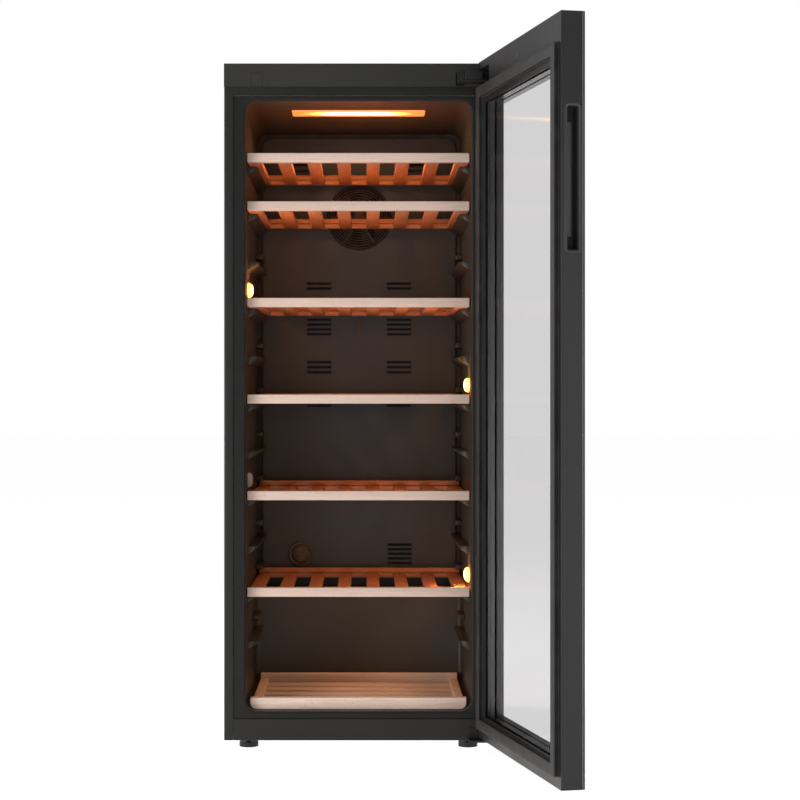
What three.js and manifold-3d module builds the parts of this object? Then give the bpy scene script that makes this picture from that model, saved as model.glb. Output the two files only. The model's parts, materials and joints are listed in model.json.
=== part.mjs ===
// Free-standing wine cooler with its glass door open.
// Millimetres, +Z up, front towards -Y. The design frame has X = 0 on the cabinet's centre,
// Y = 0 on its front plane and Z = 0 on the floor; the group is moved at the end so that its
// origin is the bottom centre of its own box.
import * as THREE from 'three';
import { mergeVertices } from 'three/addons/utils/BufferGeometryUtils.js';
import Module from 'manifold-3d';

const wasm = await Module();
wasm.setup();

// ---- driving dimensions -------------------------------------------------------------------
const WIDTH = 497;               // cabinet and door
const HEIGHT = 1270;             // floor to the top of the cap and door
const CABINET_DEPTH = 536;       // front plane to rear sheet
const FLOOR_GAP = 18;            // floor to the underside of the cabinet
const GAP = 0.3;                 // between pieces that touch
const STEEL = 0.8;               // sheet thickness

const CAP_HEIGHT = 43.3;
const CAP_WALL = 3;
const CAP_PROUD = 2;             // the cap stands in front of the front plane
const FLANGE_WIDTH = 17;         // shell's front flange beside the opening
const FLANGE_DROP = 16;          // shell's front flange over the opening
const KICK_HEIGHT = 39.5;
const GROOVE = 1.5;              // shadow gap between shell and liner flange
const LINER_FRAME = 8.2;         // liner flange over the opening

const LINER_WALL = 2.5;
const LINER_RECESS = 2.5;        // liner flange behind the front plane
const OPENING_WIDTH = 420;
const OPENING_BOTTOM = 71;
const OPENING_RADIUS = 22;
const CAVITY_DEPTH = 470;
const STEP_DEPTH = 330;          // front plane to the face of the step in the cavity floor
const STEP_TOP = 262;
const BAY_INSULATION = 38;       // foam between the step and the machine bay

const PANEL_DEPTH = 440;         // front plane to the duct panel
const PANEL_MARGIN = 10;         // duct panel to the cavity's walls
const PANEL_DROP = 11;           // duct panel below the ceiling
const PANEL_RADIUS = 20;
const PANEL_WALL = 2.5;

const SHELF_PITCH = 90;
const SHELF_DROP = 93;           // ceiling to the top of the highest shelf lip
const SHELF_SLOTS = [0, 1, 3, 5, 7, 9];
const LEDGE_LEVELS = 11;
const SHELF_CLEARANCE = 3;       // each side, to the cavity wall
const SHELF_FRONT = 25;          // front plane to the lip
const SHELF_DEPTH = 402;
const LIP_HEIGHT = 17;
const LIP_THICKNESS = 18;
const SLAT_COUNT = 8;
const SLAT_WIDTH = 25;
const SLAT_HEIGHT = 10;
const RAIL_RISE = 3;             // rear rail above the lip
const RAIL_THICKNESS = 14;
const LEDGE_REACH = 19;
const LEDGE_START = 90;
const LEDGE_EDGE = 5;            // height of a ledge's inner edge
const LEDGE_ROOT = 17;           // height of a ledge at the wall
const STOP_REACH = 14;           // tilt stops over the shelf's back corners
const STOP_LENGTH = 80;
const STOP_HEIGHT = 10;
const STOP_GAP = 2;              // rear rail to the tilt stop

const RACK_CLEARANCE = 8.5;      // each side, to the cavity wall
const RACK_DEPTH = 298;
const RACK_LIP = 21.5;
const RACK_BACK = 27;
const RACK_RADIUS = 12;          // low corners of the rack's lip
const RACK_SLATS = 4;
const RACK_PITCH = 59.5;
const RACK_SLAT_WIDTH = 36;
const RACK_SLAT_START = 15;      // lip to the first slat
const RACK_RAIL_INSET = 4;       // side rails in from the lip's ends
const RACK_RAIL_WIDTH = 17;
const RACK_RAIL_LIFT = 6;        // side rails clear the cavity's round corners
const RACK_RAIL_TOP = 17;

const FAN_DROP = 175;            // ceiling to the fan's axis
const FAN_RADIUS = 62;
const GRILLE_RIM = 68;

const DOOR_BOTTOM = 25;
const DOOR_THICKNESS = 40;
const DOOR_GAP = 10;             // front plane to the door's inner face, filled by the gasket
const DOOR_OPEN = THREE.MathUtils.degToRad(102);
const HINGE_INSET = 13;          // hinge axis from the door's side edge
const HINGE_BEHIND = 11;         // hinge axis from the door's inner face
const BORDER_SIDE = 40;
const BORDER_TOP = 80;
const BORDER_BOTTOM = 45;
const REBATE = 8;                // glass held behind the frame's inner lip
const FRAME_LIP = 2.5;
const GLASS_OUTER = 3.7;
const GLASS_INNER = 3;
const SPACER_BAND = 8;
const GASKET_WIDTH = 21;
const GASKET_INSET = 10;
const GASKET_AIR = 1;            // gasket to front plane with the door shut
const GASKET_DROP = 48;          // door top to gasket
const GASKET_RISE = 19;          // door bottom to gasket
const GRIP_DROP = 152;           // door top to the grip's upper end
const GRIP_LENGTH = 230;
const GRIP_WIDTH = 19;
const GRIP_DEPTH = 25;
const GRIP_WALL = 1.5;
const GRIP_RIM = 5;
const GRIP_RIDGE_WIDTH = 9;
const GRIP_RIDGE_RISE = 2;
const GRIP_RIDGE_END = 23;       // ridge to the ends of the recess

const PIN_RADIUS = 4;
const BUSH_RADIUS = 7;
const PIN_LENGTH = 18;
const RUNNING = 0.3;             // radial clearance of turning pieces
const FOOT_RADIUS = 18;
const STEM_RADIUS = 5;
const PAD_HEIGHT = 9;

const KICK_FOLD = 9;             // folds behind the kick panel
const TRAY_FRONT = 10;
const COMPRESSOR = { height: 150, radius: 62, legHeight: 12, foot: 82, footDepth: 45, leg: 9 };
const DRIP_TRAY = { half: 95, inset: 20, height: 22, wall: 3, gap: 8 };
const COVER_SLOT = { at: [-150, -30, 90], width: 80, height: 7, pitch: 20, rows: 7, first: 40 };
const GLAND = { inset: 48.5, z: 90, radius: 7, lip: 3, bore: 3.5 };
const COIL = { runs: 10, pitch: 90, inset: 58.5, rise: 68, wire: 5, depth: 4 };
const VENT_HALF = 25;
const VENT_RISE = 2.5;           // half a vent's height
const GRILLE_RINGS = [[54, 49], [44, 39], [34, 29], [24, 19]];
const GRILLE_RIM_BORE = 59;
const GRILLE_HUB = 12;
const GRILLE_RIB = { width: 1.6, depth: 4 };
const IMPELLER = { depth: 12, hub: 17, blades: 7, length: 40, thickness: 2, chord: 14, reach: 34 };
const MOTOR = { radius: 19, shaft: 2.5, arm: 56, armWidth: 5, armDepth: 3 };
const EVAPORATOR = { rise: 168, inset: 50, fins: 22, pitch: 20, slot: 14, slotDepth: 18 };
const FILTER = { x: -121, rise: 66, radius: 26, hub: 17, handle: 14, grip: 2.5 };
const SENSOR = { drop: 419, half: 5.5, height: 33, depth: 6, slits: [7, 15, 23], slit: 3 };
const ARM_RADIUS = 8;            // hinge arms round their pins
const STEM_TOP = 42;
const FOOT_INSET = 43.5;
const SIDE_LAMP = { front: 80, depth: 28, height: 27, rise: 18, reach: 9, radius: 8 };
const CONTROL_BOX = { left: -90, right: 30, front: 90, back: 190, height: 30 };

// ---- derived levels -----------------------------------------------------------------------
const halfWidth = WIDTH / 2;
const shellTop = HEIGHT - CAP_HEIGHT;
const kickTop = FLOOR_GAP + KICK_HEIGHT;
const halfOpening = OPENING_WIDTH / 2;
const flangeBottom = kickTop + GROOVE;
const flangeTop = shellTop - FLANGE_DROP - GROOVE;
const flangeHalf = halfWidth - FLANGE_WIDTH - GROOVE;
const openingTop = flangeTop - LINER_FRAME;
const panelTop = openingTop - PANEL_DROP;
const panelHalf = halfOpening - PANEL_MARGIN;
const shelfTop = (slot) => openingTop - SHELF_DROP - SHELF_PITCH * slot;
const fanHeight = openingTop - FAN_DROP;
const bayDepth = STEP_DEPTH + LINER_WALL + BAY_INSULATION;
const bayTop = STEP_TOP - LINER_WALL - BAY_INSULATION;
const backInside = CABINET_DEPTH - STEEL - GAP;
const condenserGap = 6;
const foamBack = backInside - condenserGap;
const doorInner = -DOOR_GAP;
const doorOuter = doorInner - DOOR_THICKNESS;
const hingeX = halfWidth - HINGE_INSET;
const hingeY = doorInner - HINGE_BEHIND;
const shelfHalf = halfOpening - SHELF_CLEARANCE;
const shelfBack = SHELF_FRONT + SHELF_DEPTH;
const frameTop = HEIGHT - BORDER_TOP;
const frameBottom = DOOR_BOTTOM + BORDER_BOTTOM;
const frameHalf = halfWidth - BORDER_SIDE;
const gasketTop = HEIGHT - GASKET_DROP;
const gasketBottom = DOOR_BOTTOM + GASKET_RISE;
const gripBottom = HEIGHT - GRIP_DROP - GRIP_LENGTH;

// ---- materials ----------------------------------------------------------------------------
const paint = (colour, roughness, metalness = 0) =>
  new THREE.MeshStandardMaterial({ color: colour, roughness, metalness });
const darkSteel = paint(0x2f2e2c, 0.45, 0.6);
const capPlastic = paint(0x3a3937, 0.5);
const linerPlastic = paint(0x3a322d, 0.55);
const panelPlastic = paint(0x3d3332, 0.55);
const blackPlastic = paint(0x1c1c1b, 0.5);
const doorPlastic = paint(0x2c2b2a, 0.45);
const rubber = paint(0x161616, 0.8);
const beech = paint(0xd9bba8, 0.6);
const glass = new THREE.MeshStandardMaterial(
  { color: 0xc4cac8, roughness: 0.05, transparent: true, opacity: 0.3 });
const lampGlow = new THREE.MeshStandardMaterial(
  { color: 0xffb060, roughness: 0.4, emissive: 0xff8a30 });
const aluminium = paint(0x9c9a97, 0.35, 0.9);
const zinc = paint(0x8d8c88, 0.4, 0.9);
const galvanised = paint(0x77787a, 0.5, 0.8);
const foamYellow = paint(0xd8c88a, 0.9);
const compressorBlack = paint(0x141414, 0.4, 0.5);
const charcoal = paint(0x2a2725, 0.7);

// ---- solids -------------------------------------------------------------------------------
function solid(geometry) {
  const bare = geometry.clone();
  bare.deleteAttribute('normal');
  bare.deleteAttribute('uv');
  const merged = mergeVertices(bare, 1e-4);
  const mesh = new wasm.Mesh({
    numProp: 3,
    vertProperties: new Float32Array(merged.attributes.position.array),
    triVerts: new Uint32Array(merged.index.array),
  });
  return new wasm.Manifold(mesh);
}

const union = (...pieces) => pieces.reduce((whole, piece) => whole.add(piece));
const cut = (whole, ...holes) => holes.reduce((rest, hole) => rest.subtract(hole), whole);

function box(x0, x1, y0, y1, z0, z1) {
  const geometry = new THREE.BoxGeometry(x1 - x0, y1 - y0, z1 - z0);
  geometry.translate((x0 + x1) / 2, (y0 + y1) / 2, (z0 + z1) / 2);
  return solid(geometry);
}

const outline = (points) => new THREE.Shape(points.map(([u, v]) => new THREE.Vector2(u, v)));

function extrude(shape, depth, curveSegments) {
  return new THREE.ExtrudeGeometry(shape, { depth, bevelEnabled: false, steps: 1, curveSegments });
}

// an outline in X and Z, between two depths
function alongY(shape, y0, y1, curveSegments = 6) {
  const geometry = extrude(shape, y1 - y0, curveSegments);
  geometry.rotateX(Math.PI / 2);
  geometry.translate(0, y1, 0);
  return solid(geometry);
}

// an outline in Y and Z, between two widths
function alongX(shape, x0, x1, curveSegments = 6) {
  const geometry = extrude(shape, x1 - x0, curveSegments);
  geometry.applyMatrix4(new THREE.Matrix4().makeBasis(
    new THREE.Vector3(0, 1, 0), new THREE.Vector3(0, 0, 1), new THREE.Vector3(1, 0, 0)));
  geometry.translate(x0, 0, 0);
  return solid(geometry);
}

// an outline in X and Y, between two heights
function alongZ(shape, z0, z1, curveSegments = 6) {
  const geometry = extrude(shape, z1 - z0, curveSegments);
  geometry.translate(0, 0, z0);
  return solid(geometry);
}

// a rectangle with round corners; corners are numbered from the low right one, anticlockwise
function rounded(u0, u1, v0, v1, radius, ofCorner = () => true, steps = 4) {
  const corners = [[u1 - radius, v0 + radius], [u1 - radius, v1 - radius],
    [u0 + radius, v1 - radius], [u0 + radius, v0 + radius]];
  const sharp = [[u1, v0], [u1, v1], [u0, v1], [u0, v0]];
  const points = corners.flatMap(([u, v], index) => {
    if (!ofCorner(index)) return [sharp[index]];
    return Array.from({ length: steps + 1 }, (_, step) => {
      const angle = (index - 1 + step / steps) * Math.PI / 2;
      return [u + radius * Math.cos(angle), v + radius * Math.sin(angle)];
    });
  });
  return outline(points);
}

function disc(u, v, radius) {
  const shape = new THREE.Shape();
  shape.absarc(u, v, radius, 0, 2 * Math.PI);
  return shape;
}

const rod = (x, y, radius, z0, z1, segments = 10) => alongZ(disc(x, y, radius), z0, z1, segments);
const plug = (x, z, radius, y0, y1, segments = 12) => alongY(disc(x, z, radius), y0, y1, segments);

const cooler = new THREE.Group();
const door = new THREE.Group();
door.position.set(hingeX, hingeY, 0);
door.rotation.z = DOOR_OPEN;
const leaf = new THREE.Group();  // holds the door's pieces where they are with the door shut
leaf.position.set(-hingeX, -hingeY, 0);
door.add(leaf);
cooler.add(door);

function part(name, body, material, parent = cooler) {
  const { vertProperties, triVerts, numProp } = body.getMesh();
  const geometry = new THREE.BufferGeometry();
  geometry.setAttribute('position', new THREE.BufferAttribute(vertProperties, numProp));
  geometry.setIndex(new THREE.BufferAttribute(triVerts, 1));
  geometry.computeVertexNormals();
  const mesh = new THREE.Mesh(geometry, material);
  mesh.name = name;
  parent.add(mesh);
}

// ---- cabinet ------------------------------------------------------------------------------
const hingeNotch = {
  inner: halfWidth - 67.5, outer: halfWidth - 52.5, bottom: HEIGHT - 41, top: HEIGHT - 17.5,
};
const plugNotch = { outer: 49.5 - halfWidth, inner: 71.5 - halfWidth };

function outerShell() {
  const inside = halfWidth - STEEL;
  const open = halfWidth - FLANGE_WIDTH;
  return cut(
    alongZ(rounded(-halfWidth, halfWidth, 0, CABINET_DEPTH - STEEL - GAP, 3), FLOOR_GAP, shellTop, 3),
    box(-inside, inside, STEEL, CABINET_DEPTH, FLOOR_GAP - 1, shellTop - STEEL),
    box(-open, open, -1, STEEL + 1, FLOOR_GAP - 1, shellTop - FLANGE_DROP),
  );
}

function kickPanel() {
  const half = halfWidth - FLANGE_WIDTH - GAP;
  return union(
    box(-half, half, 0, STEEL, FLOOR_GAP, kickTop),
    box(-half, half, 0, KICK_FOLD, kickTop - STEEL, kickTop),
    box(-half, half, 0, KICK_FOLD, FLOOR_GAP, FLOOR_GAP + STEEL),
  );
}

function baseTray() {
  const floor = FLOOR_GAP + STEEL;
  const back = backInside - GAP;
  const side = halfWidth - STEEL - GAP;
  const profile = outline([
    [TRAY_FRONT, FLOOR_GAP], [bayDepth + STEEL, FLOOR_GAP], [bayDepth + STEEL, bayTop],
    [back, bayTop], [back, bayTop + STEEL], [bayDepth, bayTop + STEEL], [bayDepth, floor],
    [TRAY_FRONT, floor],
  ]);
  return cut(alongX(profile, -side, side), ...footPlaces.front.map(([x, y]) =>
    rod(x, y, STEM_RADIUS + RUNNING, FLOOR_GAP - 1, floor + 1)));
}

function insulationFoam() {
  const inset = STEEL + GAP;
  const side = halfWidth - inset;
  const floor = FLOOR_GAP + STEEL + GAP;
  const top = shellTop - inset;
  const front = LINER_RECESS + LINER_WALL + GAP;
  const block = alongX(outline([
    [front, kickTop], [KICK_FOLD + GAP, kickTop], [KICK_FOLD + GAP, floor], [bayDepth - GAP, floor],
    [bayDepth - GAP, bayTop + inset], [foamBack, bayTop + inset], [foamBack, top], [front, top],
  ]), -side, side);
  return cut(block, cavity(LINER_WALL + GAP, 0, CAVITY_DEPTH),
    ...footPlaces.front.map(([x, y]) => rod(x, y, STEM_RADIUS + 1, floor - 1, STEM_TOP + 2)),
    lampBox(GAP, openingTop, openingTop + LAMP_POCKET + 2 * GAP));
}

// the space inside the liner, grown by a margin
function cavity(margin, y0, y1) {
  const whole = alongY(rounded(-halfOpening - margin, halfOpening + margin,
    OPENING_BOTTOM - margin, openingTop + margin, OPENING_RADIUS + margin), y0, y1 + margin);
  const step = box(-WIDTH, WIDTH, STEP_DEPTH + margin, CABINET_DEPTH, 0, STEP_TOP - margin);
  return cut(whole, step);
}

function ledgeTop(level) {
  return shelfTop(level) - LIP_HEIGHT - GAP;
}

// a shelf ledge with a round front end and a sloping underside, and the block that stops the
// shelf from tipping
function ledge(level, side) {
  const wall = side * (halfOpening + LINER_WALL / 2);
  const reach = side * (halfOpening - LEDGE_REACH);
  const top = ledgeTop(level);
  const end = top - LEDGE_ROOT > STEP_TOP ? PANEL_DEPTH - 8 : STEP_DEPTH - 6;
  const section = outline([[wall, top], [reach, top], [reach, top - LEDGE_EDGE], [wall, top - LEDGE_ROOT]]);
  const bar = alongY(section, LEDGE_START, end);
  const inner = Math.min(side * halfOpening, reach);
  const outer = Math.max(side * (halfOpening + LINER_WALL), reach);
  const nose = alongZ(rounded(inner - 1, outer + 1, LEDGE_START, end + 1, LEDGE_REACH - 2,
    (index) => index === (side > 0 ? 3 : 0)), top - LEDGE_ROOT - 1, top + 1);
  const stop = side * (halfOpening - STOP_REACH);
  const stopBottom = top + LIP_HEIGHT + RAIL_RISE + STOP_GAP;
  const block = box(Math.min(wall, stop), Math.max(wall, stop), end - STOP_LENGTH, end,
    stopBottom, stopBottom + STOP_HEIGHT);
  return union(bar.intersect(nose), block);
}

function innerLiner() {
  const front = LINER_RECESS;
  const flange = alongY(rounded(-flangeHalf, flangeHalf, flangeBottom, flangeTop, 1),
    front, front + LINER_WALL);
  const tub = cut(cavity(LINER_WALL, front, CAVITY_DEPTH), cavity(0, front - 1, CAVITY_DEPTH));
  const shell = union(cut(flange, cavity(0, front - 1, front + LINER_WALL + 1)), tub);
  const ledges = [];
  for (let level = 0; level < LEDGE_LEVELS; level += 1) {
    ledges.push(ledge(level, 1), ledge(level, -1));
  }
  return cut(union(shell, ...ledges), lampBox(GAP, openingTop - 1, openingTop + 5));
}

function topCap() {
  const body = box(-halfWidth, halfWidth, -CAP_PROUD, CABINET_DEPTH, shellTop + GAP, HEIGHT);
  const hollow = box(-halfWidth + CAP_WALL, halfWidth - CAP_WALL, CAP_WALL, CABINET_DEPTH - CAP_WALL,
    shellTop, HEIGHT - CAP_WALL);
  const notch = box(hingeNotch.inner - 0.5, hingeNotch.outer + 0.5, -5, 10,
    hingeNotch.bottom, hingeNotch.top);
  const blank = box(plugNotch.outer, plugNotch.inner, -5, 10, hingeNotch.bottom, hingeNotch.top);
  return cut(body, hollow, notch, blank);
}

function hingePlug() {
  return union(
    box(plugNotch.outer + GAP, plugNotch.inner - GAP, -CAP_PROUD, CAP_WALL + 2,
      hingeNotch.bottom + GAP, hingeNotch.top - GAP),
    box(plugNotch.outer - 3, plugNotch.inner + 3, CAP_WALL + GAP, CAP_WALL + 2,
      hingeNotch.bottom - 1, hingeNotch.top + 3),
  );
}

// ---- machine bay --------------------------------------------------------------------------
const plateFront = bayDepth + STEEL + GAP;
const plateBack = backInside - GAP;
const plateTop = FLOOR_GAP + 2;
const bayMiddle = (plateFront + plateBack) / 2;

function compressorPlate() {
  const side = halfWidth - STEEL - GAP;
  return union(
    box(-side, side, plateFront, plateBack, FLOOR_GAP, plateTop),
    box(-side, side, plateBack - 2, plateBack, FLOOR_GAP, plateTop + 8),
  );
}

function compressor() {
  const { height, radius, legHeight, foot, footDepth, leg } = COMPRESSOR;
  const base = plateTop + GAP;
  const body = base + legHeight;
  const profile = [[0, 0], [40, 0], [56, 14], [radius, 40], [radius, 86], [54, 122], [34, 144],
    [0, height]].map(([r, z]) => new THREE.Vector2(r, z));
  const shell = new THREE.LatheGeometry(profile, 24);
  shell.rotateX(Math.PI / 2);
  shell.translate(0, bayMiddle, body);
  const plate = box(-foot, foot, bayMiddle - footDepth, bayMiddle + footDepth, body + 4, body + 8);
  const legs = [10 - foot, foot - 10].flatMap((x) => [10 - footDepth, footDepth - 10].map((y) =>
    rod(x, bayMiddle + y, leg, base, body + 6, 4)));
  return union(solid(shell), plate, ...legs);
}

function dripTray() {
  const { half, inset, height, wall, gap } = DRIP_TRAY;
  const z = plateTop + COMPRESSOR.legHeight + COMPRESSOR.height + gap;
  return cut(
    box(-half, half, plateFront + inset, plateBack - inset, z, z + height),
    box(-half + wall, half - wall, plateFront + inset + wall, plateBack - inset - wall,
      z + wall, z + height + gap),
  );
}

function machineCover() {
  const side = halfWidth - STEEL - 2;
  const plate = box(-side, side, backInside, CABINET_DEPTH - GAP, plateTop + 12, bayTop - GAP);
  const { at, width, height, pitch, rows, first } = COVER_SLOT;
  const slots = [];
  for (let row = 0; row < rows; row += 1) {
    const z = plateTop + first + row * pitch;
    at.forEach((x) => slots.push(box(x, x + width, backInside - 2, CABINET_DEPTH + 2, z, z + height)));
  }
  return cut(plate, ...slots,
    plug(glandX, GLAND.z, GLAND.radius + GAP, backInside - 2, CABINET_DEPTH + 2));
}

const glandX = halfWidth - GLAND.inset;

function cordGland() {
  const { z, radius, lip, bore } = GLAND;
  return cut(union(
    plug(glandX, z, radius, backInside - 4, CABINET_DEPTH - 0.1),
    plug(glandX, z, radius + lip, backInside - 4, backInside - GAP),
  ), plug(glandX, z, bore, backInside - 10, CABINET_DEPTH + 1));
}

function rearSheet() {
  const side = halfWidth - 1;
  return box(-side, side, backInside + GAP, CABINET_DEPTH, bayTop + GAP, shellTop);
}

// a serpentine strip in the gap between the foam and the rear sheet
function condenserCoil() {
  const { runs, pitch, inset, rise, wire, depth } = COIL;
  const half = halfWidth - inset;
  const bottom = bayTop + rise;
  const y0 = foamBack + 1;
  const pieces = [];
  for (let run = 0; run < runs; run += 1) {
    const z = bottom + run * pitch;
    pieces.push(box(-half, half, y0, y0 + depth, z, z + wire));
    if (run > 0) {
      const x = run % 2 ? half : -half - wire;
      pieces.push(box(x - 1, x + wire + 1, y0, y0 + depth, z - pitch, z + wire));
    }
  }
  return union(...pieces);
}

// ---- air duct -----------------------------------------------------------------------------
function ductPanel() {
  const half = panelHalf;
  const bottom = STEP_TOP + GAP;
  const back = CAVITY_DEPTH - GAP;
  const onlyTop = (index) => index === 1 || index === 2;
  const pan = cut(
    alongY(rounded(-half, half, bottom, panelTop, PANEL_RADIUS, onlyTop), PANEL_DEPTH, back),
    alongY(rounded(-half + PANEL_WALL, half - PANEL_WALL, bottom + PANEL_WALL,
      panelTop - PANEL_WALL, PANEL_RADIUS - PANEL_WALL, onlyTop), PANEL_DEPTH + PANEL_WALL, back + 1),
  );
  const slot = (x, z) => box(x - VENT_HALF, x + VENT_HALF, PANEL_DEPTH - 1,
    PANEL_DEPTH + PANEL_WALL + 1, z - VENT_RISE, z + VENT_RISE);
  const slots = [];
  for (const group of ventGroups) {
    for (let row = 0; row < group.rows; row += 1) {
      group.at.forEach((x) => slots.push(slot(x, group.top - row * group.pitch)));
    }
  }
  return cut(pan, plug(0, fanHeight, FAN_RADIUS, PANEL_DEPTH - 1, PANEL_DEPTH + 5), ...slots);
}

const ventGroups = [
  { at: [-121, 121], top: openingTop - 66, rows: 2, pitch: 12 },
  { at: [-83, 83], top: openingTop - 312, rows: 2, pitch: 10 },
  { at: [-83, 83], top: openingTop - 387, rows: 4, pitch: 10 },
  { at: [-83, 83], top: openingTop - 475, rows: 3, pitch: 10.5 },
  { at: [-83, 83], top: openingTop - 545, rows: 3, pitch: 10 },
  { at: [84], top: STEP_TOP + 85, rows: 5, pitch: 9.5 },
];

function fanGrille() {
  const front = PANEL_DEPTH - 3;
  const back = PANEL_DEPTH - GAP;
  const ring = (outer, inner) => cut(
    plug(0, fanHeight, outer, front, back, 14), plug(0, fanHeight, inner, front - 1, back + 1, 14));
  const rings = [[GRILLE_RIM, GRILLE_RIM_BORE], ...GRILLE_RINGS].map(([a, b]) => ring(a, b));
  const ribs = [0, 1, 2].map((index) => {
    const rib = new THREE.BoxGeometry(2 * FAN_RADIUS, GRILLE_RIB.width, GRILLE_RIB.depth);
    rib.rotateY(index * Math.PI / 3);
    rib.translate(0, (front + back) / 2 + 0.3, fanHeight);
    return solid(rib);
  });
  return union(...rings, plug(0, fanHeight, GRILLE_HUB, front, back), ...ribs);
}

const fanFront = PANEL_DEPTH + 6;

function fanImpeller() {
  const { depth, hub, blades: count, length, thickness, chord, reach } = IMPELLER;
  const blades = [];
  for (let index = 0; index < count; index += 1) {
    const blade = new THREE.BoxGeometry(length, thickness, chord);
    blade.rotateX(Math.PI / 5);
    blade.translate(reach, 0, 0);
    blade.rotateY(index * 2 * Math.PI / count);
    blade.translate(0, fanFront + depth / 2, fanHeight);
    blades.push(solid(blade));
  }
  return cut(union(plug(0, fanHeight, hub, fanFront, fanFront + depth), ...blades),
    plug(0, fanHeight, MOTOR.shaft + RUNNING, fanFront + 3, fanFront + depth + 1, 6));
}

function fanMotor() {
  const { radius, shaft, arm, armWidth, armDepth } = MOTOR;
  const front = fanFront + IMPELLER.depth + 1;
  const back = CAVITY_DEPTH - GAP;
  const arms = union(
    box(-arm, arm, back - armDepth, back, fanHeight - armWidth, fanHeight + armWidth),
    box(-armWidth, armWidth, back - armDepth, back, fanHeight - arm, fanHeight + arm));
  return union(plug(0, fanHeight, radius, front, back),
    plug(0, fanHeight, shaft, fanFront + 4, front + 1, 6), arms);
}

function evaporator() {
  const { rise, inset, fins, pitch, slot, slotDepth } = EVAPORATOR;
  const bottom = STEP_TOP + rise;
  const half = panelHalf - inset;
  const block = box(-half, half, PANEL_DEPTH + 8, CAVITY_DEPTH - 3, bottom, bottom + fins * pitch);
  const slots = [];
  for (let fin = 0; fin < fins; fin += 1) {
    const z = bottom + 4 + fin * pitch;
    slots.push(box(-half - 1, half + 1, PANEL_DEPTH, PANEL_DEPTH + slotDepth, z, z + slot));
  }
  return cut(block, ...slots);
}

function charcoalFilter() {
  const y1 = PANEL_DEPTH - GAP;
  const { x, rise, radius, hub, handle, grip } = FILTER;
  const z = STEP_TOP + rise;
  const bar = box(-handle, handle, y1 - 12, y1 - 5, -grip, grip).translate([x, 0, z]);
  return union(plug(x, z, radius, y1 - 4, y1, 14), plug(x, z, hub, y1 - 8, y1 - 3), bar);
}

function sensorCover() {
  const y1 = PANEL_DEPTH - GAP;
  const { drop, half, height, depth, slits, slit } = SENSOR;
  const bottom = openingTop - drop;
  const holes = slits.map((rise) =>
    box(-slit, slit, y1 - 9, y1 - 2, bottom + rise, bottom + rise + slit));
  return cut(alongY(rounded(-half, half, bottom, bottom + height, 4), y1 - depth, y1, 3), ...holes);
}

// ---- lamps --------------------------------------------------------------------------------
const LAMP_WIDTH = 255;
const LAMP_DEPTH = 70;
const LAMP_FRONT = 114;
const LAMP_POCKET = 12;
const LENS_RISE = 4;             // lens body above the ceiling

function lampBox(margin, z0, z1) {
  const half = LAMP_WIDTH / 2 - 3;
  return box(-half - margin, half + margin, LAMP_FRONT + 3 - margin,
    LAMP_FRONT + LAMP_DEPTH - 3 + margin, z0, z1);
}

function ceilingLens() {
  const half = LAMP_WIDTH / 2;
  return union(
    alongZ(rounded(-half, half, LAMP_FRONT, LAMP_FRONT + LAMP_DEPTH, 4), openingTop - 2,
      openingTop - GAP, 3),
    lampBox(0, openingTop - 1, openingTop + LENS_RISE),
  );
}

const lampBoard = () => lampBox(-4, openingTop + LENS_RISE + GAP, openingTop + LENS_RISE + 2);

const sideLamps = [3, 5, 7, 9].map((slot, index) =>
  ({ side: index % 2 ? 1 : -1, z: shelfTop(slot) + SIDE_LAMP.rise }));

// a dome that stands in from the wall, between two shelves
function sideLamp({ side, z }) {
  const { front, depth, height, reach, radius } = SIDE_LAMP;
  const wall = side * (halfOpening - GAP);
  const face = side * (halfOpening - reach);
  const inner = (index) => (side > 0 ? index >= 2 : index < 2);
  return alongY(rounded(Math.min(wall, face), Math.max(wall, face), z - height / 2, z + height / 2,
    radius, inner), front, front + depth);
}

// ---- shelves ------------------------------------------------------------------------------
function shelfFront(top) {
  return box(-shelfHalf, shelfHalf, SHELF_FRONT, SHELF_FRONT + LIP_THICKNESS, top - LIP_HEIGHT, top);
}

function shelfDeck(top) {
  const bottom = top - LIP_HEIGHT;
  const front = SHELF_FRONT + LIP_THICKNESS + GAP;
  const pitch = (2 * shelfHalf - SLAT_WIDTH) / (SLAT_COUNT - 1);
  const rail = union(
    box(-shelfHalf, shelfHalf, shelfBack - RAIL_THICKNESS, shelfBack, bottom, top + RAIL_RISE),
    box(-shelfHalf, shelfHalf, shelfBack - RAIL_THICKNESS - 3, shelfBack, bottom, bottom + SLAT_HEIGHT),
    box(-shelfHalf, shelfHalf, front, front + 6, bottom, bottom + SLAT_HEIGHT - 2));
  const slats = [];
  for (let slat = 0; slat < SLAT_COUNT; slat += 1) {
    const x = -shelfHalf + slat * pitch;
    slats.push(box(x, x + SLAT_WIDTH, front, shelfBack - 1, bottom, bottom + SLAT_HEIGHT));
  }
  return union(rail, ...slats);
}

const rackHalf = halfOpening - RACK_CLEARANCE;
const rackBottom = OPENING_BOTTOM + 0.5;

function rackFront() {
  const lowCorners = (index) => index === 0 || index === 3;
  return alongY(rounded(-rackHalf, rackHalf, rackBottom, rackBottom + RACK_LIP, RACK_RADIUS, lowCorners),
    SHELF_FRONT, SHELF_FRONT + LIP_THICKNESS);
}

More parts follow.
